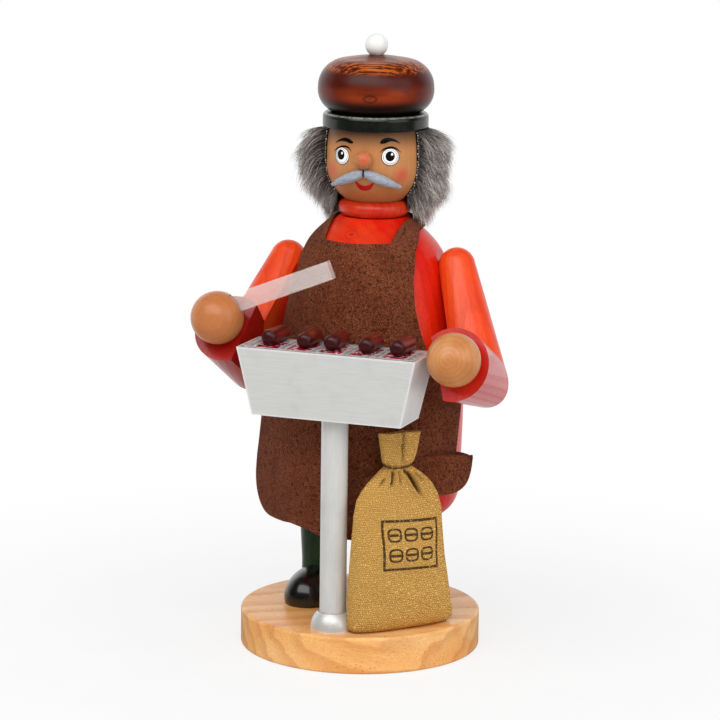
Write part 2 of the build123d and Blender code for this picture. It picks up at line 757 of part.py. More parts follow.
# Arms, hands and their dowels
tongs_dir = Vector(cos(radians(tongs_rise)), 0, sin(radians(tongs_rise)))
hand_flat_radius = sqrt(hand_radius**2 - hand_stand**2)
for name, (shoulder, upper, fore, outward, elbow, wrist, total) in arm_frames.items():
    mitre = Plane(origin=elbow, z_dir=(upper + fore).normalized())
    flat_plane = Plane(origin=shoulder - outward * arm_flat, z_dir=-outward)
    fore_start = wrist - fore * total
    hand_centre = wrist + outward * hand_offset + fore * hand_stand

    with BuildPart() as upper_arm:
        with BuildSketch(Plane(origin=shoulder, x_dir=outward, z_dir=outward.cross(upper))):
            with BuildLine():
                ThreePointArc(
                    (0, -arm_dome_radius),
                    (arm_dome_radius * sin(radians(45)), -arm_dome_radius * cos(radians(45))),
                    (arm_dome_radius, 0),
                )
                Polyline((arm_dome_radius, 0), (arm_end_radius, total), (0, total), (0, -arm_dome_radius))
            make_face()
        revolve(axis=Axis(shoulder, upper))
        split(bisect_by=mitre, keep=Keep.BOTTOM)
        split(bisect_by=flat_plane, keep=Keep.BOTTOM)
        with BuildSketch(Plane(origin=shoulder - outward * arm_flat, z_dir=outward)):
            Circle(dowel_radius + glue_gap)
        extrude(amount=shoulder_dowel_arm, mode=Mode.SUBTRACT)
    save(upper_arm, f"{name}_upper_arm")

    with BuildPart() as forearm:
        with BuildSketch(Plane(origin=fore_start, x_dir=outward, z_dir=outward.cross(fore))):
            with BuildLine():
                Polyline(
                    (0, 0), (arm_dome_radius, 0), (arm_end_radius, total), (0, total), close=True
                )
            make_face()
        revolve(axis=Axis(fore_start, fore))
        split(bisect_by=mitre, keep=Keep.TOP)
        split(bisect_by=flat_plane, keep=Keep.BOTTOM)
        with BuildSketch(Plane(origin=wrist + outward * hand_offset, z_dir=fore)):
            Circle(wrist_dowel_radius + glue_gap)
        extrude(amount=-wrist_dowel_fore, mode=Mode.SUBTRACT)
    save(forearm, f"{name}_forearm")

    with BuildPart() as hand:
        with BuildSketch(Plane(origin=hand_centre, x_dir=outward, z_dir=outward.cross(fore))):
            with BuildLine():
                ThreePointArc((hand_flat_radius, -hand_stand), (hand_radius, 0), (0, hand_radius))
                Polyline((0, hand_radius), (0, -hand_stand), (hand_flat_radius, -hand_stand))
            make_face()
        revolve(axis=Axis(hand_centre, fore))
        with BuildSketch(Plane(origin=wrist + outward * hand_offset, z_dir=fore)):
            Circle(wrist_dowel_radius + glue_gap)
        extrude(amount=wrist_dowel_hand, mode=Mode.SUBTRACT)
        if name == "right":
            tongs_plane = Plane(
                origin=hand_centre + Vector(0, tongs_back, tongs_raise),
                x_dir=tongs_dir,
                z_dir=Vector(-tongs_dir.Z, 0, tongs_dir.X),
            )
            with BuildSketch(tongs_plane):
                with Locations((tongs_start - tongs_bend - tongs_thickness, 0)):
                    Rectangle(
                        hand_radius,
                        2 * (tongs_bend + tongs_thickness / 2 + tongs_slot_gap),
                        align=(Align.MIN, Align.CENTER),
                    )
            extrude(amount=tongs_width / 2 + 2 * glue_gap, both=True, mode=Mode.SUBTRACT)
    save(hand, f"{name}_hand")

    with BuildPart() as shoulder_dowel:
        dowel_root = shoulder - outward * (arm_flat + shoulder_dowel_coat)
        with BuildSketch(Plane(origin=dowel_root, z_dir=outward)):
            Circle(dowel_radius)
        extrude(amount=shoulder_dowel_coat + shoulder_dowel_arm)
    save(shoulder_dowel, f"{name}_shoulder_dowel")

    with BuildPart() as wrist_dowel:
        dowel_root = wrist + outward * hand_offset - fore * wrist_dowel_fore
        with BuildSketch(Plane(origin=dowel_root, z_dir=fore)):
            Circle(wrist_dowel_radius)
        extrude(amount=wrist_dowel_fore + wrist_dowel_hand)
    save(wrist_dowel, f"{name}_wrist_dowel")

# Tongs: one clear strip bent double, held in the right hand
with BuildPart() as tongs:
    with BuildSketch(tongs_plane):
        with BuildLine() as strip:
            Line((tongs_length, -tongs_opening / 2), (tongs_start, -tongs_bend))
            ThreePointArc(
                (tongs_start, -tongs_bend), (tongs_start - tongs_bend, 0), (tongs_start, tongs_bend)
            )
            Line((tongs_start, tongs_bend), (tongs_length - tongs_step, tongs_opening / 2))
        trace(line_width=tongs_thickness)
    extrude(amount=tongs_width / 2, both=True)
save(tongs, "tongs")

# Apron: a bib on the coat, a loop round the neck and a skirt that hangs free below the belly
apron_middle = belly_radius + cloth_gap + apron_thickness / 2
apron_hem = base_height + apron_hem_rise
apron_crease_z = base_height + apron_crease_rise


def apron_band():
    """The cloth lying on the coat, as a face in plan radius and height."""
    inner = coat_side_moved(cloth_gap)
    outer = coat_side_moved(cloth_gap + apron_thickness)
    with BuildSketch(figure_plane) as band:
        with BuildLine():
            add(inner)
            add(outer)
            Line(inner @ 0, outer @ 0)
            Line(inner @ 1, outer @ 1)
        make_face()
    return band.sketch


with BuildPart() as apron_bib:
    revolve(apron_band(), axis=figure_axis, revolution_arc=-180)
    with BuildSketch(figure_plane):
        with BuildLine():
            for side in (-1, 1):
                Polyline(
                    (0, coat_top - bib_neck_drop),
                    (side * bib_neck_half_width, coat_top - bib_neck_drop),
                    (side * strap_inner_radius, coat_top + neck_radius),
                    (side * strap_outer_radius, coat_top + neck_radius),
                    (side * strap_outer_radius, coat_top - shoulder_drop),
                    (side * bib_half_width, coat_top - bib_waist_drop),
                )
                ThreePointArc(
                    (side * bib_half_width, coat_top - bib_waist_drop),
                    (side * bib_hip_half_width, coat_top - bib_hip_drop),
                    (side * (apron_middle + apron_lap), belly_z),
                )
                Polyline(
                    (side * (apron_middle + apron_lap), belly_z),
                    (side * (apron_middle + apron_lap), belly_z - apron_lap),
                    (0, belly_z - apron_lap),
                )
        make_face()
    extrude(amount=2 * belly_radius, mode=Mode.INTERSECT)

with BuildPart() as apron_loop:
    revolve(apron_band(), axis=figure_axis, revolution_arc=180)
    with BuildSketch(figure_level(0)):
        Circle(strap_outer_radius)
        Circle(strap_inner_radius, mode=Mode.SUBTRACT)
    extrude(amount=2 * coat_top, mode=Mode.INTERSECT)


def apron_point(along, flare, shift):
    """A point of the skirt in plan, at a length along the cloth from the middle of the front."""
    name = "left" if along > 0 else "right"
    side = arm_side[name]
    straight = apron_middle * radians(apron_split[name])
    if abs(along) <= straight:
        centre = Vector(0, 0)
        radius = apron_middle
        turn = abs(along) / apron_middle
    else:
        centre = Vector(-side * sin(radians(apron_split[name])), cos(radians(apron_split[name])))
        centre = centre * (flare[name] - apron_middle)
        radius = flare[name]
        turn = radians(apron_split[name]) + (abs(along) - straight) / radius
    return centre + Vector(side * sin(turn), -cos(turn)) * (radius + shift)


def apron_section(z, right_flare, left_flare, thickness):
    """A face across the skirt: the front lies on the belly, each side swings out on a wider arc."""
    flare = {"right": right_flare, "left": left_flare}
    places = [apron_reach * (step / apron_steps - 1) for step in range(2 * apron_steps + 1)]
    with BuildSketch(figure_level(z)) as section:
        with BuildLine():
            inner = Spline(*[apron_point(along, flare, -thickness / 2) for along in places])
            outer = Spline(*[apron_point(along, flare, thickness / 2) for along in places])
            Line(inner @ 0, outer @ 0)
            Line(inner @ 1, outer @ 1)
        make_face()
    return section.sketch


apron_reach = apron_middle * radians(apron_side_angle)
apron_hem_flare = {"right": apron_right_flare[-1], "left": apron_left_flare[-1]}
apron_levels = (
    apron_section(belly_z + apron_lap, apron_middle, apron_middle, apron_lap_thickness),
    apron_section(apron_crease_z + apron_crease / 2, apron_right_flare[0], apron_middle, apron_thickness),
    apron_section(
        apron_crease_z - apron_crease / 2, apron_right_flare[1], apron_left_flare[0], apron_thickness
    ),
    apron_section(apron_hem, apron_right_flare[2], apron_left_flare[1], apron_thickness),
)
with BuildPart() as apron:
    loft(apron_levels, ruled=True)
    for name, radius in apron_corner.items():
        tip = apron_point(arm_side[name] * apron_reach, apron_hem_flare, 0)
        inward = apron_point(arm_side[name] * (apron_reach - radius), apron_hem_flare, 0) - tip
        inward = inward.normalized()
        corner = Vector(figure_x, figure_y, apron_hem) + tip
        with BuildSketch(Plane(origin=corner, x_dir=inward, z_dir=inward.cross(Vector(0, 0, 1)))):
            Rectangle(2 * radius, 2 * radius)
            with Locations((radius, radius)):
                Circle(radius, mode=Mode.SUBTRACT)
        extrude(amount=radius / 2, both=True, mode=Mode.SUBTRACT)
    add(apron_bib.part)
    add(apron_loop.part)
save(apron, "apron")
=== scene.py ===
import math
from functools import partialmethod

import bpy
import numpy as np
from mathutils import Matrix, Vector
from mathutils.bvhtree import BVHTree


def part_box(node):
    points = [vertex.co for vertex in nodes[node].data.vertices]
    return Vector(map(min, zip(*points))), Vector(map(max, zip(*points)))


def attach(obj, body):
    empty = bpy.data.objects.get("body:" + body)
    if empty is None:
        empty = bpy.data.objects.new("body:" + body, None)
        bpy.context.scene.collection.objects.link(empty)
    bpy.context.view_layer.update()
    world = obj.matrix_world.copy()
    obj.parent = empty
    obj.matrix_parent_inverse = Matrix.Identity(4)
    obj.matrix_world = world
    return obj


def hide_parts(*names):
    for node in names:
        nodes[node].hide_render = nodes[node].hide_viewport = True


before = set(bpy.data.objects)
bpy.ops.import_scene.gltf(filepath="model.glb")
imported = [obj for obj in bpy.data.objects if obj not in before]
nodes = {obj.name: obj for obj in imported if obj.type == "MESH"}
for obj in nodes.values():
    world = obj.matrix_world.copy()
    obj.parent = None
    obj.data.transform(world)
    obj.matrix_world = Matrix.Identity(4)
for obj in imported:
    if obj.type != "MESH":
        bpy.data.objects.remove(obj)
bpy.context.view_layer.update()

scene = bpy.context.scene
scene.view_settings.view_transform = "Standard"

# Lengths are in millimetres in the frame of the CAD, except where a comment says metres.
# Angles are in degrees. A turn round the figure counts from its front towards its left.
# A rise is a height above the floor.
MM = 0.001
X, Y, UP = Vector((1, 0, 0)), Vector((0, 1, 0)), Vector((0, 0, 1))
ORIGIN = Vector((0, 0, 0))
LEFT, RIGHT = 1, -1


def span(name):
    """Lowest and highest corners of a CAD node at rest."""
    return [Vector(corner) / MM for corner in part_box(name)]


COAT_LOW, COAT_HIGH = span("coat")
HEAD_LOW = span("head")[0]
AXIS = (COAT_LOW + COAT_HIGH) / 2
AXIS.z = 0


def outward(turn):
    angle = math.radians(turn)
    return Vector((math.sin(angle), -math.cos(angle), 0))


def around(turn, radius, rise):
    """A point round the figure's axis."""
    return AXIS + outward(turn) * radius + UP * rise


SACK_TURN = 50.5
SACK_OUT, SACK_DIR = outward(SACK_TURN), outward(SACK_TURN + 90)
CAMERA_TURN = 20.83
BEHIND = -outward(CAMERA_TURN)


def tone(red, green, blue):
    """A colour given as it looks on a screen, 0 to 255, in the linear values that Blender takes."""
    linear = []
    for value in (red, green, blue):
        share = value / 255
        linear.append(share / 12.92 if share <= 0.04045 else ((share + 0.055) / 1.055) ** 2.4)
    return (*linear, 1.0)


def smooth(value, low, high):
    """0 at low, 1 at high, and an easy rise between; low may be the larger."""
    share = min(1.0, max(0.0, (value - low) / (high - low)))
    return share * share * (3 - 2 * share)


def bell(value, width):
    return math.exp(-(value / width) ** 2)


def mix(start, end, share):
    return start + (end - start) * share


def follow(value, pairs):
    """The second number of pairs, read off at a value of the first."""
    return float(np.interp(value, *zip(*pairs)))


class Value:
    """A number, colour or place that changes over a surface: a node's output, with arithmetic."""

    def __init__(self, paint, socket):
        self.paint = paint
        self.socket = socket

    def do(self, kind, other=0.0):
        return self.paint.math(kind, self, other)

    __add__ = partialmethod(do, "ADD")
    __sub__ = partialmethod(do, "SUBTRACT")
    __mul__ = partialmethod(do, "MULTIPLY")
    __truediv__ = partialmethod(do, "DIVIDE")
    __abs__ = partialmethod(do, "ABSOLUTE")

    def noise(self, scale, detail=3.0, rough=0.55, twist=0.0):
        inputs = {"Vector": self, "Scale": scale, "Detail": detail, "Roughness": rough, "Distortion": twist}
        return self.paint.output("ShaderNodeTexNoise", inputs)

    def level(self, low, high, start=0.0, end=1.0):
        """start below low, end above high, and an easy change between."""
        inputs = {"Value": self, "From Min": low, "From Max": high, "To Min": start, "To Max": end}
        return self.paint.output("ShaderNodeMapRange", inputs, interpolation_type="SMOOTHSTEP")

    def fade(self, low, high, start=1.0):
        return self.level(low, high, start, 0.0)

    def between(self, a, b, kind="MIX"):
        """The colour a where this is 0 and b where it is 1."""
        return self.paint.output("ShaderNodeMix", {0: self, 6: a, 7: b}, 2, data_type="RGBA", blend_type=kind)

    def stain(self, colour, share, kind="MIX"):
        """This colour with another over it by a share."""
        return share.between(self, colour, kind)


class Paint:
    """Short calls for building one node material."""

    SOCKETS = {
        "shine": "Specular IOR Level", "coat": "Coat Weight", "coat_rough": "Coat Roughness",
        "metal": "Metallic", "sheen": "Sheen Weight", "sheen_rough": "Sheen Roughness",
        "clear": "Transmission Weight", "ior": "IOR",
    }

    def __init__(self, name):
        self.material = bpy.data.materials.new(name)
        self.material.use_nodes = True
        self.start(self.material.node_tree, "Object")

    def start(self, tree, coordinates):
        self.tree = tree
        tree.nodes.clear()
        self.place = self.output("ShaderNodeTexCoord", {}, coordinates)

    def node(self, kind, inputs, **settings):
        made = self.tree.nodes.new(kind)
        for key, value in settings.items():
            setattr(made, key, value)
        for key, value in inputs.items():
            if isinstance(value, Value):
                self.tree.links.new(value.socket, made.inputs[key])
            else:
                made.inputs[key].default_value = value
        return made

    def output(self, kind, inputs, key=0, **settings):
        return Value(self, self.node(kind, inputs, **settings).outputs[key])

    def math(self, kind, a, b):
        return self.output("ShaderNodeMath", {0: a, 1: b}, operation=kind)

    def vector(self, kind, a, b=ORIGIN):
        key = "Value" if kind in ("DOT_PRODUCT", "LENGTH", "DISTANCE") else "Vector"
        return self.output("ShaderNodeVectorMath", {0: a, 1: b}, key, operation=kind)

    def along(self, direction, middle=ORIGIN):
        """Millimetres along a direction from a point."""
        way = Vector(direction).normalized()
        return self.vector("DOT_PRODUCT", self.place, way / MM) - way.dot(Vector(middle))

    def join(self, x, y, z):
        return self.output("ShaderNodeCombineXYZ", {0: x, 1: y, 2: z})

    def length(self, x, y, z):
        return self.vector("LENGTH", self.join(x, y, z))

    def grain(self, direction, stretch, middle=ORIGIN):
        """Millimetre coordinates across, across and along a grain, shortened along it."""
        way = Vector(direction).normalized()
        side = way.orthogonal().normalized()
        aside, beside, run = (self.along(axis, middle) for axis in (side, way.cross(side), way))
        return self.join(aside, beside, run * stretch)

    def near(self, middle, inner, outer):
        """1 within inner millimetres of a point, 0 beyond outer."""
        return self.vector("DISTANCE", self.place, Vector(middle) * MM).fade(inner * MM, outer * MM)

    def normal(self):
        return self.output("ShaderNodeNewGeometry", {}, "Normal")

    def stored(self, name):
        """A number that the piece holds for each of its points."""
        return self.output("ShaderNodeAttribute", {}, "Fac", attribute_name=name)

    def finish(self, colour, rough, height=None, relief=0.0, **more):
        """The material, with a relief in millimetres by a height from 0 to 1."""
        inputs = {"Base Color": colour, "Roughness": rough}
        if height:
            inputs["Normal"] = self.output("ShaderNodeBump", {"Height": height, "Distance": relief * MM})
        for key, value in more.items():
            inputs[self.SOCKETS[key]] = value
        shader = self.output("ShaderNodeBsdfPrincipled", inputs)
        self.node("ShaderNodeOutputMaterial", {"Surface": shader})
        return self.material


# Wood, with tones given dark, middle and light

ORANGE = (tone(202, 40, 8), tone(244, 74, 22), tone(252, 106, 46))
RED = (tone(164, 10, 1), tone(224, 24, 4), tone(238, 52, 12))
COLLAR_RED = (tone(156, 14, 2), tone(212, 40, 10), tone(232, 84, 34))
# The right forearm's tones are darker than the left's, as painted shadow.
CRIMSON = {
    "right": (tone(116, 6, 6), tone(168, 15, 9), tone(190, 28, 16)),
    "left": (tone(140, 8, 5), tone(200, 20, 9), tone(222, 42, 20)),
}
HAND = {
    "right": (tone(140, 74, 32), tone(196, 120, 68), tone(214, 146, 96)),
    "left": (tone(150, 84, 38), tone(198, 126, 70), tone(222, 158, 102)),
}
BASE = (tone(194, 108, 44), tone(248, 182, 106), tone(255, 207, 139))
PALE = (tone(176, 120, 66), tone(214, 168, 112), tone(230, 190, 140))
GREEN = (tone(14, 32, 14), tone(32, 58, 28), tone(44, 74, 38))
MAHOGANY = (tone(34, 6, 1), tone(76, 15, 1), tone(106, 27, 2))
TAN = (tone(160, 98, 52), tone(196, 132, 78), tone(206, 146, 92))
NOSE_TAN = (tone(150, 82, 44), tone(196, 118, 70), tone(210, 136, 88))


def wood_colour(paint, tones, direction, middle, ring=3.0, line=0.5, fibre=0.35, patch=0.6):
    """Colour, relief and coordinates of a grain with a fibre direction and a point of the log's middle."""
    dark, plain, light = tones
    where = paint.grain(direction, 0.045, middle)
    away = paint.vector("LENGTH", paint.vector("MULTIPLY", where, (1.0, 1.0, 0.0)))
    share = (away / ring + where.noise(0.09, 2.0) * 1.4).do("FRACT")
    late = share.level(0.25, 0.88) * share.fade(0.9, 1.0)
    strands = where.noise(2.6, 4.0, 0.65)
    colour = (where.noise(0.055).level(0.35, 0.68) * patch).between(plain, light)
    colour = colour.stain(dark, late * line).stain(dark, strands.level(0.42, 0.62) * fibre)
    return colour, late * 0.5 + strands, where


def wood(name, tones, direction, middle, rough=0.34, coat=0.3, relief=0.03, pores=0.0, **more):
    """Stained or clear wood under a thin lacquer, with short dark pores where they are asked for."""
    paint = Paint(name)
    colour, height, where = wood_colour(paint, tones, direction, middle, **more)
    if pores:
        short = paint.grain(direction, 0.28, middle)
        dots = paint.output("ShaderNodeTexVoronoi", {"Vector": short, "Scale": 1.3}, "Distance")
        pore = dots.fade(0.08, 0.24, pores) * where.noise(0.12).level(0.4, 0.56)
        colour = colour.stain(tones[0], pore).stain((0.45, 0.35, 0.3, 1), pore, "MULTIPLY")
    gloss = height.level(0.3, 1.2, rough - 0.05, rough + 0.08)
    return paint.finish(colour, gloss, height, relief, shine=0.27, coat=coat, coat_rough=0.2)


def knot(away, wobble, pace, crest, inner, outer, depth):
    """Dark rings round the middle of a knot, which fade out from inner to outer."""
    return ((away + wobble) * pace).do("SINE").level(-0.2, crest) * away.fade(inner, outer, depth)


def coat_material():
    """Red stain with orange patches on the breast, and a knot there."""
    paint = Paint("red_stained_wood")
    colour, height, where = wood_colour(paint, RED, (0.04, 0.02, 1), (24, 60, 0), 4.2, line=0.22, patch=0.8)
    middle = AXIS + Vector((-2.5, -23.0, COAT_HIGH.z - 5.2))
    rise = paint.along(UP, middle)
    away = paint.length(paint.along(X, middle), paint.along(Y, middle), rise * 1.5)
    colour = colour.stain(tone(116, 26, 2), knot(away, paint.place.noise(300.0), 3.6, 0.9, 1.0, 5.5, 0.75))
    warm = where.noise(0.11, 2.0).level(0.45, 0.6) * rise.level(-15.0, -1.0)
    colour = colour.stain(tone(204, 66, 14), warm * 0.3)
    return paint.finish(colour, 0.34, height, 0.02, shine=0.25, coat=0.12, coat_rough=0.2)


def crown_material():
    """Dark glossy mahogany stain with orange streaks on the top and a knot in the lighter lower band, painted
    shade towards the band's sides, and painted shade and dark reflection of the brim at the foot.
    """
    paint = Paint("mahogany_lacquer")
    foot = span("hat_crown")[0]
    side = (0.935, 0.356, 0)
    colour, height, where = wood_colour(paint, MAHOGANY, (1, 0.25, 0.03), (0, 30, 214), 3.4, 0.16, 0.45, 0.5)
    rise = paint.along(UP, foot)
    streak = paint.grain((1, 0.3, 0.02), 0.05).noise(0.9, 3.0, 0.7).level(0.46, 0.6)
    top = rise.level(17.0, 20.0) * rise.level(22.5, 24.9, 1.0, 0.35)
    colour = colour.stain(tone(196, 96, 30), top * streak)
    glow = rise.level(3.0, 7.5) * rise.fade(10.0, 15.0) * where.noise(0.09, 2.0).level(0.34, 0.56)
    # The lighter band is painted brightest at the front and darker towards the sides, as painted shade.
    glow = glow * abs(paint.along(side, AXIS)).level(7.0, 22.0, 0.85, 0.2)
    colour = colour.stain(tone(150, 50, 4), glow)
    middle = AXIS + Vector((6.3, -24.0, foot.z + 7.9))
    away = paint.length(paint.along(side, middle) * 0.45, 0.0, paint.along(UP, middle) * 0.8)
    colour = colour.stain(tone(52, 14, 3), knot(away, where.noise(0.5), 4.6, 0.8, 0.6, 2.6, 0.8))
    # Painted shade and dark reflection of the brim, darkest at the foot of the crown.
    colour = colour.stain(tone(22, 5, 1), rise.fade(3.0, 8.3))
    return paint.finish(colour, 0.3, height, 0.015, shine=0.15, coat=0.28, coat_rough=0.36)


def head_material():
    """Tan face with blush cheeks, browner at the chin, and a painted shadow of the brim on the forehead."""
    paint = Paint("face_wood")
    colour, height, _ = wood_colour(paint, TAN, UP, (20, 50, 0), 2.6, 0.1, 0.14, 0.5)
    rise = paint.along(UP, HEAD_LOW)
    colour = colour.stain(tone(158, 84, 44), rise.fade(1.6, 11.6, 0.55))
    # Painted shadow of the brim, darkest just under it.
    colour = colour.stain(tone(100, 66, 42), rise.level(22.1, 30.2, 0.0, 0.9))
    for turn, cheek, depth in ((-40.0, 13.6, 0.62), (54.0, 12.6, 0.68)):
        blush = paint.near(around(turn, 20.6, HEAD_LOW.z + cheek), 0.4, 5.4)
        colour = colour.stain(tone(214, 66, 58), blush * depth)
    return paint.finish(colour, 0.42, height, 0.008, shine=0.3, coat=0.08, coat_rough=0.3)


def nose_material():
    """Warm wood with a red dab on the front of the ball."""
    paint = Paint("nose_wood")
    low, high = span("nose")
    radius = (high.z - low.z) / 2
    ball = Vector(((low.x + high.x) / 2, low.y + radius, low.z + radius))
    colour, height, _ = wood_colour(paint, NOSE_TAN, outward(8.0), (-1.2, 0, 214.6), 1.1, 0.3)
    dab = paint.near(ball + Vector((0.4, -0.9, 0.2)) * radius, 0.6, 2.6)
    colour = colour.stain(tone(218, 78, 48), dab * 0.7)
    return paint.finish(colour, 0.4, height, 0.008, shine=0.35, coat=0.15, coat_rough=0.25)


# Lacquer and paint

def lacquer(name, base, other, rough, coat, relief=0.02, scale=160.0, shine=0.5):
    """Opaque lacquer, slightly uneven from the brush."""
    paint = Paint(name)
    cloud = paint.place.noise(scale)
    height = cloud + paint.place.noise(scale * 14, 2.0)
    colour = cloud.level(0.35, 0.7).between(base, other)
    gloss = cloud.level(0.3, 0.7, rough, rough + 0.1)
    return paint.finish(colour, gloss, height, relief, shine=shine, coat=coat, coat_rough=0.1)


def face_lacquer(name, base, other):
    return lacquer(name, base, other, 0.3, 0.05, 0.01, 700.0, 0.15)


def painted_edge_highlight(paint, radius):
    """The mask of a painted highlight: 1 on sharp edges, falling to 0 within about half a radius."""
    rounded = paint.output("ShaderNodeBevel", {"Radius": radius * MM}, samples=6)
    return paint.vector("DOT_PRODUCT", rounded, paint.normal()).fade(0.8, 0.985)


def brim_material():
    """Black lacquer with a green tinge, with a broken pale painted highlight along the upper edge."""
    paint = Paint("cap_brim_lacquer")
    low, high = span("hat_brim")
    edge = (high.x - low.x) / 2
    cloud = paint.place.noise(260.0, 4.0, 0.65)
    colour = cloud.level(0.35, 0.7).between(tone(9, 11, 7), tone(22, 28, 18))
    away = paint.length(paint.along(X, AXIS), paint.along(Y, AXIS), 0.0)
    # Painted highlight along the upper edge, broken up by noise.
    painted_rim_highlight = away.level(edge - 1.4, edge - 0.7) * paint.along(UP, high).level(-1.2, -0.4)
    colour = colour.stain(tone(170, 176, 166), painted_rim_highlight * paint.place.noise(420.0).level(0.32, 0.6, 0.25, 0.85))
    return paint.finish(colour, 0.26, cloud, 0.05, shine=0.35, coat=0.25, coat_rough=0.12)


def ember_colour(paint):
    """Red and pink brush marks with white strokes."""
    where = paint.grain((0.7, 0.7, 0), 0.25)
    cloud = where.noise(0.45, 3.0, 0.6, 0.6)
    colour = cloud.level(0.4, 0.56).between(tone(112, 2, 18), tone(180, 16, 48))
    return colour.stain(tone(240, 206, 210), where.noise(0.62, 2.0, 0.5, 1.0).level(0.57, 0.63)), cloud


def ember_material():
    paint = Paint("ember_paint")
    colour, cloud = ember_colour(paint)
    return paint.finish(colour, 0.8, cloud, 0.05, shine=0.1)


GRATE_WINDOWS, GRATE_MARGIN, GRATE_BAR, WINDOW_DEPTH = 5, 4.1, 3.7, 17.6


def grate_windows(paint):
    """1 in the windows of the grate and 0 on its frame and bars."""
    low, high = span("grill_grate")
    middle = (low + high) / 2
    pitch = (high.x - low.x - 2 * GRATE_MARGIN + GRATE_BAR) / GRATE_WINDOWS
    half = (pitch - GRATE_BAR) / 2
    aside = abs(((paint.along(X, middle) / pitch + 0.5).do("FRACT") - 0.5) * pitch)
    deep = abs(paint.along(Y, middle)).fade(WINDOW_DEPTH / 2 - 0.1, WINDOW_DEPTH / 2)
    return aside.fade(half - 0.05, half + 0.05) * deep


def silver_material(name, strokes, grate=False, metal=0.22):
    """Brushed silver paint with a painted dark reflection on faces that look up and a painted highlight on
    sharp edges; ember paint runs over a grate's wires.
    """
    paint = Paint(name)
    brush = paint.grain(strokes, 0.035).noise(2.6, 4.0, 0.6)
    colour = brush.level(0.3, 0.7).between(tone(216, 216, 213), tone(225, 225, 223))
    colour = colour.stain(tone(180, 178, 174), paint.place.noise(60.0).level(0.5, 0.75, 0.0, 0.25))
    # Painted dark reflection on faces that look up, in patches.
    painted_top_reflection = paint.vector("DOT_PRODUCT", paint.normal(), UP).level(0.8, 0.95)
    colour = colour.stain(tone(104, 98, 95), painted_top_reflection * paint.place.noise(420.0).level(0.35, 0.65, 0.35, 0.9))
    # Painted highlight along sharp edges.
    colour = colour.stain(tone(252, 252, 252), painted_edge_highlight(paint, 2.2))
    if grate:
        bare = paint.place.noise(330.0, 2.0).level(0.5, 0.6, 1.0, 0.25)
        colour = colour.stain(ember_colour(paint)[0], grate_windows(paint) * bare)
    return paint.finish(colour, brush.level(0.3, 0.7, 0.34, 0.48), brush, 0.012, metal=metal)


def sausage_material():
    """Red-brown gloss, darkest at the front ends, with a painted highlight of lighter brown on top."""
    paint = Paint("sausage_lacquer")
    low, high = span("grill_box")
    cloud = paint.grain((0.05, 1, 0), 0.12).noise(0.55, 4.0, 0.65)
    # Painted highlight: lighter brown on the upper part of each sausage.
    top = paint.along(UP, high).level(2.9, 6.9)
    colour = cloud.level(0.36, 0.64).between(tone(50, 10, 8), tone(128, 28, 18))
    colour = colour.stain(tone(146, 70, 50), top * cloud.level(0.5, 0.66, 0.15, 0.75))
    colour = paint.along(Y, low).level(6.5, 13.5).between(tone(60, 12, 15), colour)
    return paint.finish(colour, 0.34, cloud, 0.04, shine=0.3, coat=0.2, coat_rough=0.2)


def moustache_material():
    """Blue-grey brush strokes with a few dark nicks."""
    paint = Paint("moustache_paint")
    where = paint.grain((1, 0.1, 0.2), 0.12)
    brush = where.noise(1.3, 4.0, 0.65)
    colour = brush.level(0.35, 0.68).between(tone(144, 151, 164), tone(170, 178, 189))
    colour = colour.stain(tone(96, 102, 116), where.noise(1.1, 2.0, 0.5, 0.8).level(0.66, 0.7) * 0.7)
    return paint.finish(colour, 0.4, brush, 0.03, shine=0.35, coat=0.1, coat_rough=0.3)


# Plastic, metal, felt, sacking and fur

def plastic_material():
    """Thin clear plastic that has gone a little milky, with fine scratches."""
    paint = Paint("clear_plastic")
    scratch = paint.grain((0.92, -0.1, 0.37), 0.04).noise(2.4, 3.0, 0.7)
    colour = scratch.level(0.4, 0.65).between(tone(244, 236, 232), tone(255, 250, 248))
    return paint.finish(colour, scratch.level(0.4, 0.65, 0.02, 0.07), scratch, 0.01, clear=0.8, ior=1.2)


def metal_material(name, base, other, rough):
    paint = Paint(name)
    mottle = paint.place.noise(900.0)
    colour = mottle.level(0.35, 0.7).between(base, other)
    return paint.finish(colour, mottle.level(0.3, 0.7, rough, rough + 0.15), mottle, 0.02, metal=1.0)


def felt_material():
    """Brown needle felt with pale and dark fibres and small pits."""
    paint = Paint("brown_felt")
    fuzz = paint.place.noise(1900.0, 4.0, 0.7)
    hair = paint.vector("MULTIPLY", paint.place, (1.0, 1.0, 0.35)).noise(1300.0, 2.0, 0.5, 1.5)
    pit = paint.place.noise(620.0, 2.0, 0.5).fade(0.34, 0.44, 0.6)
    colour = paint.place.noise(70.0).level(0.35, 0.65).between(tone(116, 58, 34), tone(131, 70, 44))
    colour = colour.stain(tone(58, 24, 11), fuzz.fade(0.36, 0.58, 0.92))
    colour = colour.stain(tone(150, 98, 72), paint.place.noise(1700.0, 2.0, 0.5).level(0.54, 0.7, 0.0, 0.7))
    colour = colour.stain(tone(158, 112, 86), hair.level(0.62, 0.72, 0.0, 0.4)).stain(tone(54, 22, 10), pit)
    return paint.finish(colour, 0.95, fuzz + hair * 0.6 - pit, 0.4, shine=0.05, sheen=0.03, sheen_rough=0.5)


STAMP_MIDDLE, STAMP_HALF, STAMP_TILT = (-12.2, 54.4), (13.4, 10.4), 0.055
BRIQUETTE_HALF, BRIQUETTE_COLUMNS, BRIQUETTE_ROWS = (3.3, 2.9), (-7.9, 0.0, 7.9), (-4.3, 4.3)


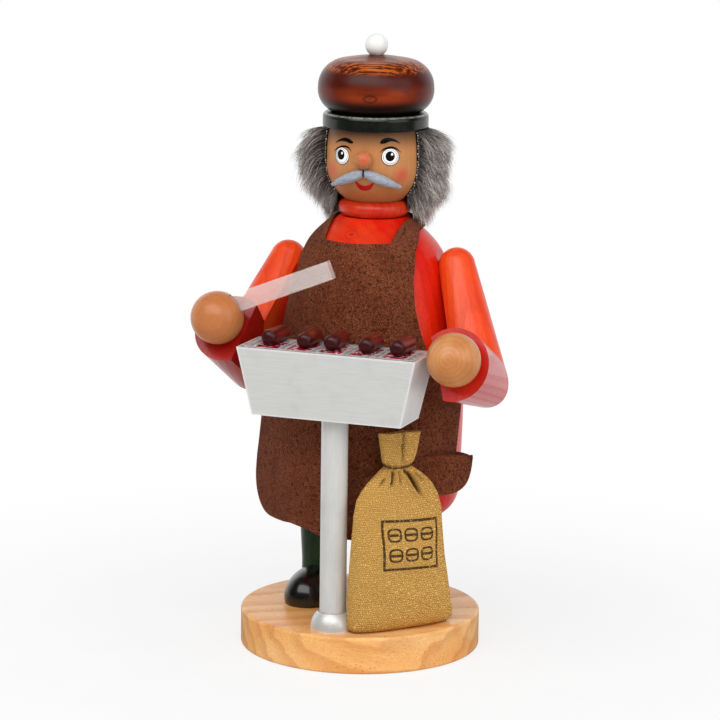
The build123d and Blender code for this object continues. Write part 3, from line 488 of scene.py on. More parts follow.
def stamp(across, rise):
    """Ink of a plain frame with two rows of briquettes, each with a crease across."""
    x = across - STAMP_MIDDLE[0]
    y = rise - STAMP_MIDDLE[1] + x * STAMP_TILT
    ink = abs((abs(x) - STAMP_HALF[0]).do("MAXIMUM", abs(y) - STAMP_HALF[1])).fade(0.42, 0.74)
    for row in BRIQUETTE_ROWS:
        for column in BRIQUETTE_COLUMNS:
            wide, high = abs((x - column) / BRIQUETTE_HALF[0]), abs((y - row) / BRIQUETTE_HALF[1])
            bulge = wide.do("POWER", 3.0) + high.do("POWER", 3.0)
            outline = abs(bulge - 0.75).fade(0.24, 0.44)
            crease = high.fade(0.13, 0.27) * bulge.fade(0.6, 0.7)
            ink = ink.do("MAXIMUM", outline.do("MAXIMUM", crease))
    return ink


WARP, WEFT = 1.12, 0.92


def burlap_material():
    """Coarse woven sacking, with a painted highlight on its raised threads, painted shade in the gaps of the
    weave and in its folds, and a stamp on the front.
    """
    paint = Paint("burlap")
    across, depth, rise = (paint.along(way, AXIS) for way in (SACK_DIR, SACK_OUT, UP))
    flat = paint.join(across + depth, rise, 0.0)
    shake = paint.output("ShaderNodeTexNoise", {"Vector": flat, "Scale": 0.5, "Detail": 2.0}, 1)
    shake = paint.vector("MULTIPLY", paint.vector("SUBTRACT", shake, (0.5, 0.5, 0.5)), (2.4, 2.0, 0.0))
    loose = paint.vector("ADD", flat, shake)
    run, climb = (paint.output("ShaderNodeSeparateXYZ", {0: loose}, key) for key in ("X", "Y"))
    row = (climb / WEFT).do("FLOOR")
    warp = abs(((run + row * (WARP / 2)) * (math.pi / WARP)).do("SINE"))
    weft = abs((climb * (math.pi / WEFT)).do("SINE"))
    height = (warp * weft * 2.4 - 1.0) * 0.42 + loose.noise(1.1) - 0.15
    # Lighter on the raised threads as painted highlight, and darker in the gaps of the weave as painted
    # shade.
    colour = height.level(-0.1, 0.85).between(tone(197, 143, 66), tone(244, 197, 114))
    colour = colour.stain(tone(220, 166, 84), flat.noise(0.12, 2.0).level(0.4, 0.7, 0.0, 0.35))
    colour = colour.stain(tone(150, 102, 44), height.fade(-0.3, 0.0, 0.4))
    # Painted shade in creases, in the slit, under the tie, inside the mouth and at the middles of the ends,
    # stored on the sack.
    colour = colour.stain(tone(70, 42, 14), paint.stored("fold_shade") * 0.85)
    ink = stamp(across, rise) * height.level(-0.3, 0.2, 0.7, 1.0) * flat.noise(0.9).level(0.28, 0.44)
    colour = colour.stain(tone(34, 27, 22), ink * depth.level(47.5, 48.5) * 0.92)
    return paint.finish(colour, 0.92, height, 0.5, shine=0.15)


def fur_material():
    """Hairs from brown-grey roots to white tips, by the shade stored on them."""
    paint = Paint("fur")
    shade = paint.stored("shade") + (paint.place.noise(700.0, 2.0) - 0.5) * 0.25
    colour = shade.level(0.0, 0.5).between(tone(60, 50, 44), tone(164, 153, 145))
    return paint.finish(colour.stain(tone(240, 236, 231), shade.level(0.5, 1.0)), 0.5, shine=0.35)


def pelt_material():
    paint = Paint("pelt")
    strands = paint.grain(UP, 0.15, AXIS).noise(1.6, 4.0, 0.7)
    colour = strands.level(0.35, 0.68).between(tone(40, 33, 29), tone(104, 94, 87))
    return paint.finish(colour, 0.8, strands, 0.8)


def twine_material():
    paint = Paint("twine")
    fibre = paint.place.noise(2600.0, 3.0, 0.7)
    colour = fibre.level(0.35, 0.65).between(tone(52, 34, 16), tone(120, 84, 42))
    return paint.finish(colour, 0.85, fibre, 0.08)


# Making pieces

def make(name, points, faces, material, body):
    """A smooth-shaded mesh piece from points in millimetres, riding on a body."""
    mesh = bpy.data.meshes.new(name)
    mesh.from_pydata([Vector(p) * MM for p in points], [], faces)
    mesh.validate()
    mesh.update()
    mesh.shade_smooth()
    mesh.materials.append(material)
    piece = bpy.data.objects.new(name, mesh)
    scene.collection.objects.link(piece)
    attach(piece, body)
    return piece


def store(piece, name, values):
    """Keeps one number for each point of a piece, for its material to read."""
    layer = piece.data.attributes.new(name, "FLOAT", "POINT")
    layer.data.foreach_set("value", np.array(values, np.float32))


def tree_of(name):
    mesh = nodes[name].data
    return BVHTree.FromPolygons([v.co for v in mesh.vertices], [p.vertices for p in mesh.polygons])


def rows_to_faces(rows, columns, start=0, closed=False):
    faces = []
    for row in range(rows - 1):
        for column in range(columns if closed else columns - 1):
            a = start + row * columns + column
            b = start + row * columns + (column + 1) % columns
            faces.append((a, b, b + columns, a + columns))
    return faces


def tube_faces(rings, corners, start):
    """Faces of a tube of rings with flat ends."""
    last = start + (rings - 1) * corners
    ends = [range(start + corners - 1, start - 1, -1), range(last, last + corners)]
    return rows_to_faces(rings, corners, start, True) + ends


def through(points, samples):
    """A smooth line through points, at even steps of their index."""
    found = []
    for place in np.linspace(0, len(points) - 1, samples):
        k = min(int(place), len(points) - 2)
        t = place - k
        p = [np.array(points[min(max(k + d, 0), len(points) - 1)], float) for d in (-1, 0, 1, 2)]
        found.append(0.5 * (2 * p[1] + (p[2] - p[0]) * t + (2 * p[0] - 5 * p[1] + 4 * p[2] - p[3]) * t * t
                            + (3 * p[1] - p[0] - 3 * p[2] + p[3]) * t ** 3))
    return found


def circle(count):
    """Cosines and sines of even steps round a circle."""
    return [(math.cos(2 * math.pi * k / count), math.sin(2 * math.pi * k / count)) for k in range(count)]


def ring_round(place, way, width, corners):
    """Corners of a ring round a line that runs in a direction."""
    side = way.cross(UP).normalized()
    over = way.cross(side)
    return [place + (side * c + over * s) * width for c, s in circle(corners)]


# Face paint, lying on the head; heights are above the chin

head_tree = tree_of("head")
FACE_RADIUS = 21.0
EDGE_SINK = -0.1


def on_head(turn, height, lift):
    out = outward(turn)
    start = AXIS + out * 3 * FACE_RADIUS + UP * (HEAD_LOW.z + height)
    place, normal, _, _ = head_tree.ray_cast(start * MM, -out)
    return (place + normal * lift * MM) / MM


def spot(name, turn, height, wide, high, lift, material, inner=0.0):
    """A painted disc, or a ring where inner is above 0, with its edge let into the head."""
    steps, rings = 48, 4
    points = []
    for ring in range(rings + 2):
        share = inner + (1 - inner) * min(ring, rings) / rings
        for c, s in circle(steps):
            side = math.degrees(wide * share * c / FACE_RADIUS)
            out = lift if ring <= rings else EDGE_SINK
            points.append(on_head(turn + side, height + high * share * s, out))
    make(name, points, rows_to_faces(rings + 2, steps, closed=True), material, "figure")


def ribbon(name, upper, lower, lift, material):
    """A painted shape between an upper and a lower line, each given by turn and height."""
    count, across = 36, 5
    top, low = through(upper, count), through(lower, count)
    points = []
    for row in range(-1, across + 2):
        share = min(max(row / across, 0), 1)
        for a, b in zip(low, top):
            turn, height = mix(a, b, share)
            points.append(on_head(turn, height, lift if 0 <= row <= across else EDGE_SINK))
    make(name, points, rows_to_faces(across + 3, count), material, "figure")


EYES = (
    # name, then turn and height of the eye, the pupil and the glint
    ("right", (-22.6, 20.45), (-24.0, 20.95), (-22.0, 21.65)),
    ("left", (38.9, 20.85), (38.5, 21.2), (40.8, 22.0)),
)
LID_WIDTH, LID_TAPER = 0.78, (0.25, 0.9, 1.0, 0.9, 0.25)
LIDS = {
    "right": ((-36.4, 22.0), (-31.1, 23.45), (-20.8, 24.7), (-13.1, 24.35), (-8.6, 22.9)),
    "left": ((26.0, 22.8), (30.2, 24.15), (38.3, 25.05), (46.0, 24.45), (52.6, 22.6)),
}
BROWS = {
    "right": (((-35.2, 25.7), (-28.7, 27.31), (-19.9, 28.35), (-12.3, 28.1), (-6.7, 26.9)),
              ((-34.9, 25.6), (-25.9, 26.7), (-17.7, 26.8), (-11.1, 26.2), (-6.9, 26.35))),
    "left": (((26.2, 27.2), (29.5, 28.56), (36.3, 29.14), (44.1, 28.44), (51.9, 26.6)),
             ((26.9, 26.6), (32.2, 26.75), (38.3, 27.55), (44.7, 27.35), (51.6, 26.5))),
}
MOUTH = (
    ((-4.1, 10.7), (-0.8, 9.45), (3.2, 8.5), (8.2, 8.2), (14.0, 8.75), (17.4, 9.6), (19.9, 10.2)),
    ((-4.3, 10.5), (-2.9, 8.06), (0.8, 6.44), (7.5, 5.9), (14.4, 6.6), (18.1, 8.3), (20.0, 10.0)),
)


def face_paint():
    white = face_lacquer("eye_white", tone(255, 255, 254), tone(250, 251, 250))
    black = face_lacquer("eye_black", tone(4, 3, 3), tone(14, 12, 12))
    grey = face_lacquer("eye_grey", tone(58, 56, 55), tone(40, 38, 38))
    red = face_lacquer("mouth_red", tone(176, 14, 22), tone(200, 26, 30))
    for name, (turn, height), pupil, glint in EYES:
        spot(f"eye_{name}_rim", turn, height, 4.1, 3.84, 0.05, black)
        spot(f"eye_{name}_white", turn, height, 3.82, 3.56, 0.09, white)
        spot(f"eye_{name}_line", turn, height + 0.1, 3.2, 3.02, 0.11, grey, 0.95)
        spot(f"eye_{name}_pupil", *pupil, 2.08, 2.16, 0.13, black)
        spot(f"eye_{name}_glint", *glint, 0.52, 0.6, 0.17, white)
    for name, line in LIDS.items():
        halves = [LID_WIDTH / 2 * taper for taper in LID_TAPER]
        upper = [(turn, height + half) for (turn, height), half in zip(line, halves)]
        lower = [(turn, height - half) for (turn, height), half in zip(line, halves)]
        ribbon(f"eyelid_{name}", upper, lower, 0.12, black)
    for name, lines in BROWS.items():
        ribbon(f"brow_{name}", *lines, 0.1, black)
    ribbon("mouth", *MOUTH, 0.1, red)


# Felt apron, lying on the coat

coat_tree = tree_of("coat")


def coat_radius(rise):
    place = coat_tree.ray_cast((AXIS + Vector((0, -90, rise))) * MM, Y)[0]
    return AXIS.y - place.y / MM


def coat_height(radius):
    place = coat_tree.ray_cast((AXIS + Vector((0, -radius, 240))) * MM, -UP)[0]
    return place.z / MM


side_rise = np.arange(108.0, 172.1, 1.0)
side_radius = np.array([coat_radius(z) for z in side_rise])
top_radius = np.arange(15.6, 33.1, 0.5)
top_rise = np.array([coat_height(r) for r in top_radius])

FELT = 1.3
CLOTH_GAP = 0.98
CLOTH_RADIUS = (COAT_HIGH.x - COAT_LOW.x) / 2 + CLOTH_GAP
HEM_Z = span("apron")[0].z
BELLY_Z = COAT_LOW.z + 53.0
BREAST_Z = 164.0
HEM_ROW = 70.0

# The right side of the skirt leaves the coat after a turn and bends less there, by height.
# The left side stays round.
SPLIT_TURN = {LEFT: 54.0, RIGHT: 38.0}
LOOSE_BEND = ((52, -0.0006), (77, 0.0008), (90, 0.0036), (104, 0.0066), (118, 0.013))
ROUND_RISE = 134

# The left side's lower part is pushed out over the sack in a flap under a ridge, by turn.
FLAP_PUSH = ((0, 0), (8, 0.8), (18, 2.6), (34, 2.2), (48, 0.7), (60, 2.6), (72, 5.6), (84, 8.2))
FLAP_RIDGE = (
    (0, 77), (12, 78.5), (25, 82.5), (38, 86.6), (50, 88.6), (60, 88.2), (70, 87.5), (80, 86.6), (90, 86.2),
)
RIDGE_DEPTH, RIDGE_FADE = 1.3, 12
FLAP_LIFT, FLAP_STEP, FLAP_LEAN, FLAP_TAPER = 0.25, 1.3, 0.25, 0.008

# Edges of the skirt as height and turn, and of the bib as height and half width.
SKIRT_EDGE = {LEFT: ((70, 81), (85, 83), (99, 87), (107, 90)), RIGHT: ((62, 90), (72, 89.5), (84, 88))}
BIB_EDGE = {
    LEFT: ((110.5, 41.3), (116, 39.6), (123, 36.8), (130, 34.4), (137, 32.3),
           (143, 30.4), (153, 27.9), (163, 26.4), (166, 26.0)),
    RIGHT: ((110.5, 41.3), (116, 41.1), (123, 40.2), (130, 38.8), (137, 37.0),
            (145, 34.6), (154, 31.6), (163, 28.4), (166, 27.8)),
}
BIB_TURN = {LEFT: 92, RIGHT: 88}
HEM_CORNER = {LEFT: 9.0, RIGHT: 19.0}
HEM_RAISE = 18.3
HEM_WAVE = ((6, 0), (10, 0.4), (13, 1.5), (17, 2.2), (26, 2.6), (32, 1.8), (40, 1.4), (63, 1.2))

# Places in plan from the axis: the outer and inner corners of the straps at the neckline,
# and the radii of the straps beside the neck.
STRAP_OUTER = {LEFT: (24.7, -15.0), RIGHT: (-26.6, -14.0)}
STRAP_INNER = {LEFT: (15.5, -21.3), RIGHT: (-14.8, -21.4)}
NECKLINE_RADIUS, NECKLINE_DIP = 25.9, 0.35
NECK_INNER, NECK_OUTER = 16.9, {LEFT: 21.7, RIGHT: 24.4}


def side_of(length):
    return LEFT if length > 0 else RIGHT


def beside_coat(rise):
    """Radius and height of the cloth against the side of the coat."""
    radius, above, below = (np.interp(rise + step, side_rise, side_radius) for step in (0, 1, -1))
    slope = (above - below) / 2
    scale = CLOTH_GAP / math.hypot(1, slope)
    return radius + scale, rise - slope * scale


def over_coat(x, y):
    """A point of the cloth above a place in plan on the coat's shoulders."""
    radius = math.hypot(x, y)
    inside = radius - 0.6
    rise, beyond, before = (np.interp(inside + step, top_radius, top_rise) for step in (0, 0.5, -0.5))
    slope = beyond - before
    scale = CLOTH_GAP / math.hypot(1, slope)
    reach = (inside - slope * scale) / radius
    return Vector((AXIS.x + x * reach, AXIS.y + y * reach, rise + scale))


def cloth_point(length, rise):
    """A point of the skirt or bib at a length along the cloth from the middle of the front."""
    side = side_of(length)
    radius, high = beside_coat(rise) if rise > BELLY_Z else (CLOTH_RADIUS, rise)
    split = radius * math.radians(SPLIT_TURN[side])
    bend = 1 / radius
    if side == RIGHT:
        bend = follow(rise, LOOSE_BEND + ((ROUND_RISE, 1 / radius),))
    reach = abs(length)
    turn = min(reach, split) / radius
    x, y = radius * math.sin(turn), -radius * math.cos(turn)
    rest = reach - split
    steps = 16
    for step in range(steps if rest > 0 else 0):
        half_bend = mix(bend, 1 / radius, max(0.0, 1 - (step + 0.5) / 4)) * rest / steps / 2
        turn += half_bend
        x += math.cos(turn) * rest / steps
        y += math.sin(turn) * rest / steps
        turn += half_bend
    place = Vector((side * x, y, high))
    angle = math.degrees(reach / radius)
    push = follow(angle, FLAP_PUSH)
    below = follow(angle, FLAP_RIDGE) - FLAP_LIFT * push - rise
    if side == LEFT and below > 0:
        c, s = math.cos(turn), math.sin(turn)
        out = Vector((c * FLAP_LEAN + s, s * FLAP_LEAN - c, 0))
        lift = FLAP_LIFT * push + FLAP_STEP * smooth(push, 0, 2)
        place += out * smooth(below, 0, RIDGE_DEPTH) * push * (1 - FLAP_TAPER * below)
        place.z += lift * smooth(below, 0, RIDGE_DEPTH) * smooth(below, RIDGE_FADE, RIDGE_DEPTH)
    return AXIS + place


def half_length(side, rise):
    """Length along the cloth from the middle of the front to an edge."""
    if rise <= BELLY_Z:
        return CLOTH_RADIUS * math.radians(follow(rise, SKIRT_EDGE[side]))
    radius = np.interp(rise, side_rise, side_radius) + CLOTH_GAP
    half = follow(rise, BIB_EDGE[side])
    return radius * min(math.asin(min(half / radius, 1.0)), math.radians(BIB_TURN[side]))


def hem(length):
    """Height of the lower edge, round at the corners and pushed up beside the sack."""
    side = side_of(length)
    low = HEM_Z + HEM_RAISE * smooth(length, 14, 42)
    if side == RIGHT:
        low += follow(-length, HEM_WAVE)
    corner = HEM_CORNER[side]
    away = half_length(side, HEM_ROW) - abs(length)
    if away < corner:
        low += corner - math.sqrt(max(corner ** 2 - (corner - away) ** 2, 0))
    return low


def neckline(columns, strap):
    """Places in plan where the columns of the bib end: right strap, neckline, left strap."""
    places = []
    for k in range(columns):
        if strap <= k < columns - strap:
            t = (k - strap + 1) / (columns - 2 * strap + 1)
            x = mix(STRAP_INNER[RIGHT][0], STRAP_INNER[LEFT][0], t)
            dip = NECKLINE_DIP * math.sin(math.pi * t)
            places.append((x, -math.sqrt(NECKLINE_RADIUS ** 2 - x * x) - dip))
        else:
            side = RIGHT if k < strap else LEFT
            t = min(k, columns - 1 - k) / (strap - 1)
            places.append(tuple(mix(a, b, t) for a, b in zip(STRAP_OUTER[side], STRAP_INNER[side])))
    return places


def strap_rows(ends, strap):
    """Rows of places in plan over the left shoulder, round behind the neck and over the right shoulder."""
    front, back = 14, 44
    shares = [k / (strap - 1) for k in range(strap)]

    def shoulder(side, s):
        row = []
        for t, (x, y) in zip(shares, ends[-strap:] if side == LEFT else ends[strap - 1::-1]):
            radius = mix(NECK_INNER, NECK_OUTER[side], t)
            row.append((mix(x, side * radius, smooth(s, 0, 1)), y * (1 - s)))
        return row

    def behind(s):
        outer = mix(NECK_OUTER[LEFT], NECK_OUTER[RIGHT], s)
        radii = [mix(NECK_INNER, outer, t) for t in shares]
        return [(radius * math.cos(math.pi * s), radius * math.sin(math.pi * s)) for radius in radii]

    rows = [shoulder(LEFT, row / front) for row in range(1, front + 1)]
    rows += [behind(row / back) for row in range(1, back)]
    return rows + [shoulder(RIGHT, row / front) for row in range(front, 0, -1)]


def apron():
    """Skirt, bib and breast in one sheet of rows and columns, with the strap joined to its top row."""
    columns, strap = 84, 12
    skirt_rows, bib_rows, breast_rows = 96, 44, 22
    points = []
    even = np.linspace(-1, 1, columns)
    shares = [float(mix(k, math.sin(math.pi / 2 * k), 0.25)) for k in even]
    for row in range(skirt_rows):
        for share in shares:
            side = side_of(share)
            low = hem(share * half_length(side, HEM_ROW))
            rise = mix(low, BELLY_Z, row / (skirt_rows - 1))
            points.append(cloth_point(share * half_length(side, rise), rise))
    for row in range(1, bib_rows):
        rise = mix(BELLY_Z, BREAST_Z, row / (bib_rows - 1))
        points += [cloth_point(share * half_length(side_of(share), rise), rise) for share in shares]
    last = points[-columns:]
    ends = neckline(columns, strap)
    for row in range(1, breast_rows):
        t = row / (breast_rows - 1)
        for place, (x, y) in zip(last, ends):
            lifted = over_coat(mix(place.x - AXIS.x, x, t), mix(place.y - AXIS.y, y, t))
            points.append(place.lerp(lifted, smooth(t, 0, 0.12)))
    rows = skirt_rows + bib_rows + breast_rows - 2
    faces = rows_to_faces(rows, columns)
    top = range((rows - 1) * columns, rows * columns)
    chain = [top[-strap:]]
    for row in strap_rows(ends, strap):
        chain.append(range(len(points), len(points) + strap))
        points += [over_coat(x, y) for x, y in row]
    chain.append(top[strap - 1::-1])
    for before, after in zip(chain, chain[1:]):
        faces += [(before[k], before[k + 1], after[k + 1], after[k]) for k in range(strap - 1)]
    piece = make("felt_apron", points, faces, felt_material(), "figure")
    thick = piece.modifiers.new("thickness", "SOLIDIFY")
    thick.thickness = FELT * MM
    thick.offset = 0.0
    thick.use_even_offset = False
    fine = piece.modifiers.new("soft edges", "SUBSURF")
    fine.levels = 1
    fine.render_levels = 1
    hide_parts("apron")


# Fur hair on a pelt round the sides and back of the head

HAIR_FROM, HAIR_TO, HAIR_MIDDLE = 80.5, 290.0, 185.0
PELT_LOW, PELT_TOP = 192.5, 226.3
PELT_GAP, PELT_LEAST, PELT_SKIN, PELT_PAD = 0.25, 16.2, 0.7, 5.2
CORD_SPAN, CORD_RADIUS, STITCH_SPAN = (197.6, 226.0), 0.5, (198.2, 225.6)
HEAD_RADIUS = ((0, 12.9), (2.6, 15.9), (6.6, 18.8), (10.6, 20.2), (17.6, 21.0), (24.6, 20.8), (31.4, 20.2))
TIP_RISES = (184, 188, 192, 196, 203.5, 211, 216, 221.5, 226)
TIP_REACH = {
    LEFT: (24.5, 27.2, 31.2, 32.8, 33.2, 34.2, 34.2, 32.4, 29.6),
    RIGHT: (22.5, 26.0, 29.6, 33.2, 37.0, 37.4, 36.2, 34.6, 32.4),
}
HAIR_DROP = ((193, 11.0), (205, 11.5), (218, 9.5), (226.5, 6.0))
HAIR_TOP, SHOULDER_GAP = 226.5, 2.1
ROOT_LOW, ROOT_SPAN, LOCK_HIGH = 193.0, 33.2, 226.0
ROOT_GAP, ROOT_LEAST = 0.3, 16.4
LEAST_DROP, LEAST_REACH, EDGE_TUCK = 2.5, 2.5, 5.0
# The figure's right side has fewer pale hairs, as painted shade.
PALE_SHARE, PALE_LIFT = {LEFT: 0.36, RIGHT: 0.25}, 0.58


def head_radius(rise):
    return follow(rise - HEAD_LOW.z, HEAD_RADIUS)


def hair_reach(turn, rise):
    """How far out the tips stand, fuller on the figure's right side."""
    left, right = (np.interp(rise, TIP_RISES, TIP_REACH[side]) for side in (LEFT, RIGHT))
    return float(mix(left, right, smooth(turn, 165, 205)))


def pelt():
    """The skin and undercoat, a closed pad on the head."""
    turns, rises = 90, 26
    points = []
    for row in range(2 * rises):
        outside = row < rises
        share = (row if outside else 2 * rises - 1 - row) / (rises - 1)
        rise = mix(PELT_LOW, PELT_TOP, share)
        inside = max(head_radius(rise) + PELT_GAP, PELT_LEAST)
        for column in range(turns):
            across = column / (turns - 1)
            edge = min(across, 1 - across) * (HAIR_TO - HAIR_FROM)
            pad = PELT_PAD * smooth(edge, 0.0, 24.0)
            pad *= smooth(share, -0.1, 0.35) * smooth(1 - share, -0.25, 0.3)
            radius = inside + (PELT_SKIN + pad if outside else 0.0)
            points.append(around(mix(HAIR_FROM, HAIR_TO, across), radius, rise))
    faces = rows_to_faces(2 * rises, turns)
    inner = (2 * rises - 1) * turns
    faces += [(inner + k, inner + k + 1, k + 1, k) for k in range(turns - 1)]
    for end in (0, turns - 1):
        for row in range(rises - 1):
            a, b, c, d = (k * turns + end for k in (row, row + 1, 2 * rises - 2 - row, 2 * rises - 1 - row))
            faces.append((a, b, c, d) if end == 0 else (d, c, b, a))
    piece = make("hair_pelt", points, faces, pelt_material(), "figure")
    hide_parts("hair")


def strand(line, thick, points, faces):
    """Adds one tapered three-sided hair along a line to points and faces."""
    first, rings = len(points), len(line)
    for ring, (place, ahead) in enumerate(zip(line, line[1:])):
        way = (ahead - place).normalized()
        points += ring_round(place, way, thick * (1 - 0.75 * ring / (rings - 1)), 3)
    tip = len(points)
    points.append(line[-1])
    faces += rows_to_faces(rings - 1, 3, first, True)
    faces += [(tip - 3 + k, tip - 3 + (k + 1) % 3, tip) for k in range(3)]
    faces.append((first + 2, first + 1, first))


def fur():
    """Many tapered hairs in locks, darker at the root, standing out and falling to the shoulders."""
    rng = np.random.default_rng(7)
    count, rings, locks = 15000, 6, 420
    lock_turn = rng.uniform(HAIR_FROM, HAIR_TO, locks)
    lock_rise = rng.uniform(ROOT_LOW, LOCK_HIGH, locks)
    lock_push = rng.normal(0, 1, (locks, 3))
    turns = rng.uniform(HAIR_FROM + 0.3, HAIR_TO - 0.3, count)
    rises = ROOT_LOW + ROOT_SPAN * rng.uniform(0, 1, count) ** 0.9
    points, faces, shades = [], [], []
    for turn, rise in zip(turns, rises):
        lock = int(np.argmin((lock_turn - turn) ** 2 * 0.15 + (lock_rise - rise) ** 2))
        push = lock_push[lock]
        edge = min(turn - HAIR_FROM, HAIR_TO - turn)
        on_left = turn < HAIR_MIDDLE
        drop = follow(rise, HAIR_DROP) * (1 + 0.16 * push[0]) + rng.normal(0, 1.0)
        tip_rise = rise - max(drop, LEAST_DROP)
        base = max(head_radius(rise) + ROOT_GAP, ROOT_LEAST)
        reach = hair_reach(turn, tip_rise) * (0.945 + 0.03 * push[1]) + rng.normal(0, 1.2)
        reach = max(reach - EDGE_TUCK * (1 - smooth(edge, -2, 16)), base + LEAST_REACH)
        swing = push[2] * 3.5 + rng.normal(0, 2.2)
        swing += (4.0 if on_left else -4.0) * (1 - smooth(edge, 0, 40))
        tip_turn = mix(turn, lock_turn[lock], 0.45) + swing
        tip_rise += (lock_rise[lock] - rise) * 0.3
        curl = rng.normal(0, 0.5)
        shift = rng.normal(-0.08, 0.18) + 0.09 * push[1]
        if rng.uniform() < PALE_SHARE[LEFT if on_left else RIGHT]:
            shift += PALE_LIFT
        # The figure's right side is darker, as painted shade. On the left, the hairs darken towards the edge
        # beside the face.
        shift += 0.03 - 0.12 * smooth(edge, 30, 5) if on_left else -0.17
        thick = rng.uniform(0.07, 0.125)
        line = []
        for ring in range(rings):
            t = ring / (rings - 1)
            place = around(mix(turn, tip_turn, t ** 1.2) + curl * math.sin(math.pi * t * 1.5),
                           mix(base - 0.4, reach, 1 - (1 - t) ** 1.7), mix(rise, tip_rise, t ** 1.5))
            place.z = min(place.z, HAIR_TOP - 0.15 * ring)
            away = math.hypot(place.x - AXIS.x, place.y - AXIS.y)
            place.z = max(place.z, np.interp(away, top_radius, top_rise) + SHOULDER_GAP)
            line.append(place)
            shade = min(1.0, max(0.0, 0.8 * t ** 0.9 + shift * (0.35 + 0.65 * t)))
            shades += [shade] * (3 if ring < rings - 1 else 1)
        strand(line, thick, points, faces)
    piece = make("hair_fur", points, faces, fur_material(), "figure")
    store(piece, "shade", shades)
    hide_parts("hair")


def pelt_edge():
    """A dark cord with pale stitches along the pelt's edges beside the face."""
    dark = lacquer("pelt_cord", tone(20, 17, 15), tone(44, 38, 34), 0.7, 0.0, 0.03, 900.0, 0.1)
    pale = lacquer("pelt_thread", tone(226, 220, 212), tone(180, 172, 164), 0.6, 0.0, 0.03, 900.0)
    steps, stitches, rings, corners = 70, 25, 5, 8
    for name, edge in (("left", HAIR_FROM - 0.6), ("right", HAIR_TO + 0.6)):
        points = []
        for rise in np.linspace(*CORD_SPAN, steps):
            middle = around(edge, head_radius(rise) + 0.25, rise)
            points += [middle + Vector((c, s, 0)) * CORD_RADIUS for c, s in circle(corners)]
        make(f"pelt_cord_{name}", points, tube_faces(steps, corners, 0), dark, "figure")
        points, faces = [], []
        for stitch, rise in enumerate(np.linspace(*STITCH_SPAN, stitches)):
            middle = around(edge + 0.8 * math.sin(stitch * 2.3), head_radius(rise) + 0.62, rise)
            size = 0.26 + 0.07 * math.sin(stitch * 1.7)
            first = len(points)
            for ring in range(rings):
                b = math.pi * (ring + 0.5) / rings - math.pi / 2
                points += [middle + Vector((c * math.cos(b), s * math.cos(b), math.sin(b) * 1.35)) * size
                           for c, s in circle(corners)]
            faces += tube_faces(rings, corners, first)
        make(f"pelt_stitches_{name}", points, faces, pale, "figure")


# Charcoal sack; places along it count from the figure's axis

SACK_MIDDLE, SACK_BACK = -12.4, 42.45
TIE_RISE, TIE_SHIFT, TIE_OUT, TIE_HALF = 87.7, -2.0, 5.15, (5.95, 5.1)
# INSIDE_SHADE and END_SHADE are painted shade inside the mouth and at the middles of the sack's two ends.
NECK_MIDDLE, SACK_WALL, INSIDE_SHADE, END_SHADE = 94, 0.75, 0.55, 0.8
SACK_RINGS = (
    # height, half width, half thickness, shift of the middle
    (16.4, 21.6, 4.6, -0.4), (16.8, 23.6, 5.6, -0.4), (18.4, 25.3, 6.6, -0.5), (23.0, 25.2, 7.2, -0.9),
    (32.0, 24.4, 7.6, -2.0), (46.0, 23.0, 7.5, -2.7), (58.0, 22.0, 7.1, -2.7), (68.0, 21.3, 6.6, -2.4),
    (74.0, 19.8, 6.2, -2.5), (78.0, 17.4, 6.0, -2.3), (81.0, 14.6, 5.9, -2.1), (83.5, 11.6, 5.8, -2.0),
    (85.5, 8.7, 5.5, -2.0), (87.0, 5.9, 5.0, -2.0), (88.2, 5.7, 4.8, -2.0), (89.4, 7.2, 4.2, -1.8),
    (91.2, 8.1, 3.3, -1.5), (94.5, 8.9, 2.4, -1.2), (102.2, 10.3, 1.9, -1.0),
)
SACK_CREASES = (
    # from and to, along the sack and up, then depth and width
    ((-14.0, 86.5), (-3.6, 71.4), 2.3, 0.9), ((-18.6, 86.0), (-21.8, 78.0), 1.9, 0.9),
    ((-12.0, 86.0), (-8.4, 78.5), 1.3, 0.8), ((-16.4, 86.0), (-17.4, 79.5), 1.5, 0.7),
    ((-21.0, 85.0), (-27.5, 78.5), 1.2, 1.0), ((-9.0, 85.0), (-1.5, 78.5), 1.0, 0.9),
    ((-14.2, 85.5), (-13.6, 81.0), 0.9, 0.6),
)


def crease_depth(across, rise):
    """How far the folds under the tie push the front of the sack in, with a swelling beside each."""
    total = 0.0
    for start, end, depth, width in SACK_CREASES:
        run = np.subtract(end, start)
        length = math.hypot(*run)
        way = run / length
        away = np.subtract((across, rise), start)
        share = float(np.dot(away, way)) / length
        aside = abs(float(away[0] * way[1] - away[1] * way[0]))
        fade = smooth(share, -0.1, 0.12) * smooth(share, 1.0, 0.45)
        total += depth * fade * (bell(aside, width) - 0.45 * bell(aside - 2.0 * width, width))
    return total


def sack_front(x, across, rise, turn, bulge, neck):
    """Relief of the sack's front, and the painted shade of a point of it in a crease or in the slit."""
    inward = crease_depth(across, rise) * min(1.0, 2 * bulge) * smooth(rise, 87.4, 86.4)
    up = rise - NECK_MIDDLE
    slit = x + 0.2 - 0.06 * up
    lap = bell(slit, 2.4) if slit < 0 else -2.3 * bell(slit, 1.2)
    tucks = 0.8 * bell(x + 6.2 + 0.25 * up, 0.9) + 0.7 * bell(x - 5.4 - 0.2 * up, 0.9)
    swell = 0.55 * math.sin(rise * 0.21 + turn * 0.035) + 0.35 * math.sin(rise * 0.37 - turn * 0.061 + 1.3)
    swell *= 0.8 * smooth(rise, 18, 34) * smooth(rise, 84, 70) * bulge
    # Painted shade in the creases and in the slit of the neck.
    fold_shade = max(smooth(inward, 0.35, 1.5), neck * bell(slit - 0.3, 0.55) * smooth(rise, 103, 100))
    return swell - inward + neck * (lap - tucks * smooth(rise, 97.5, 91)), fold_shade


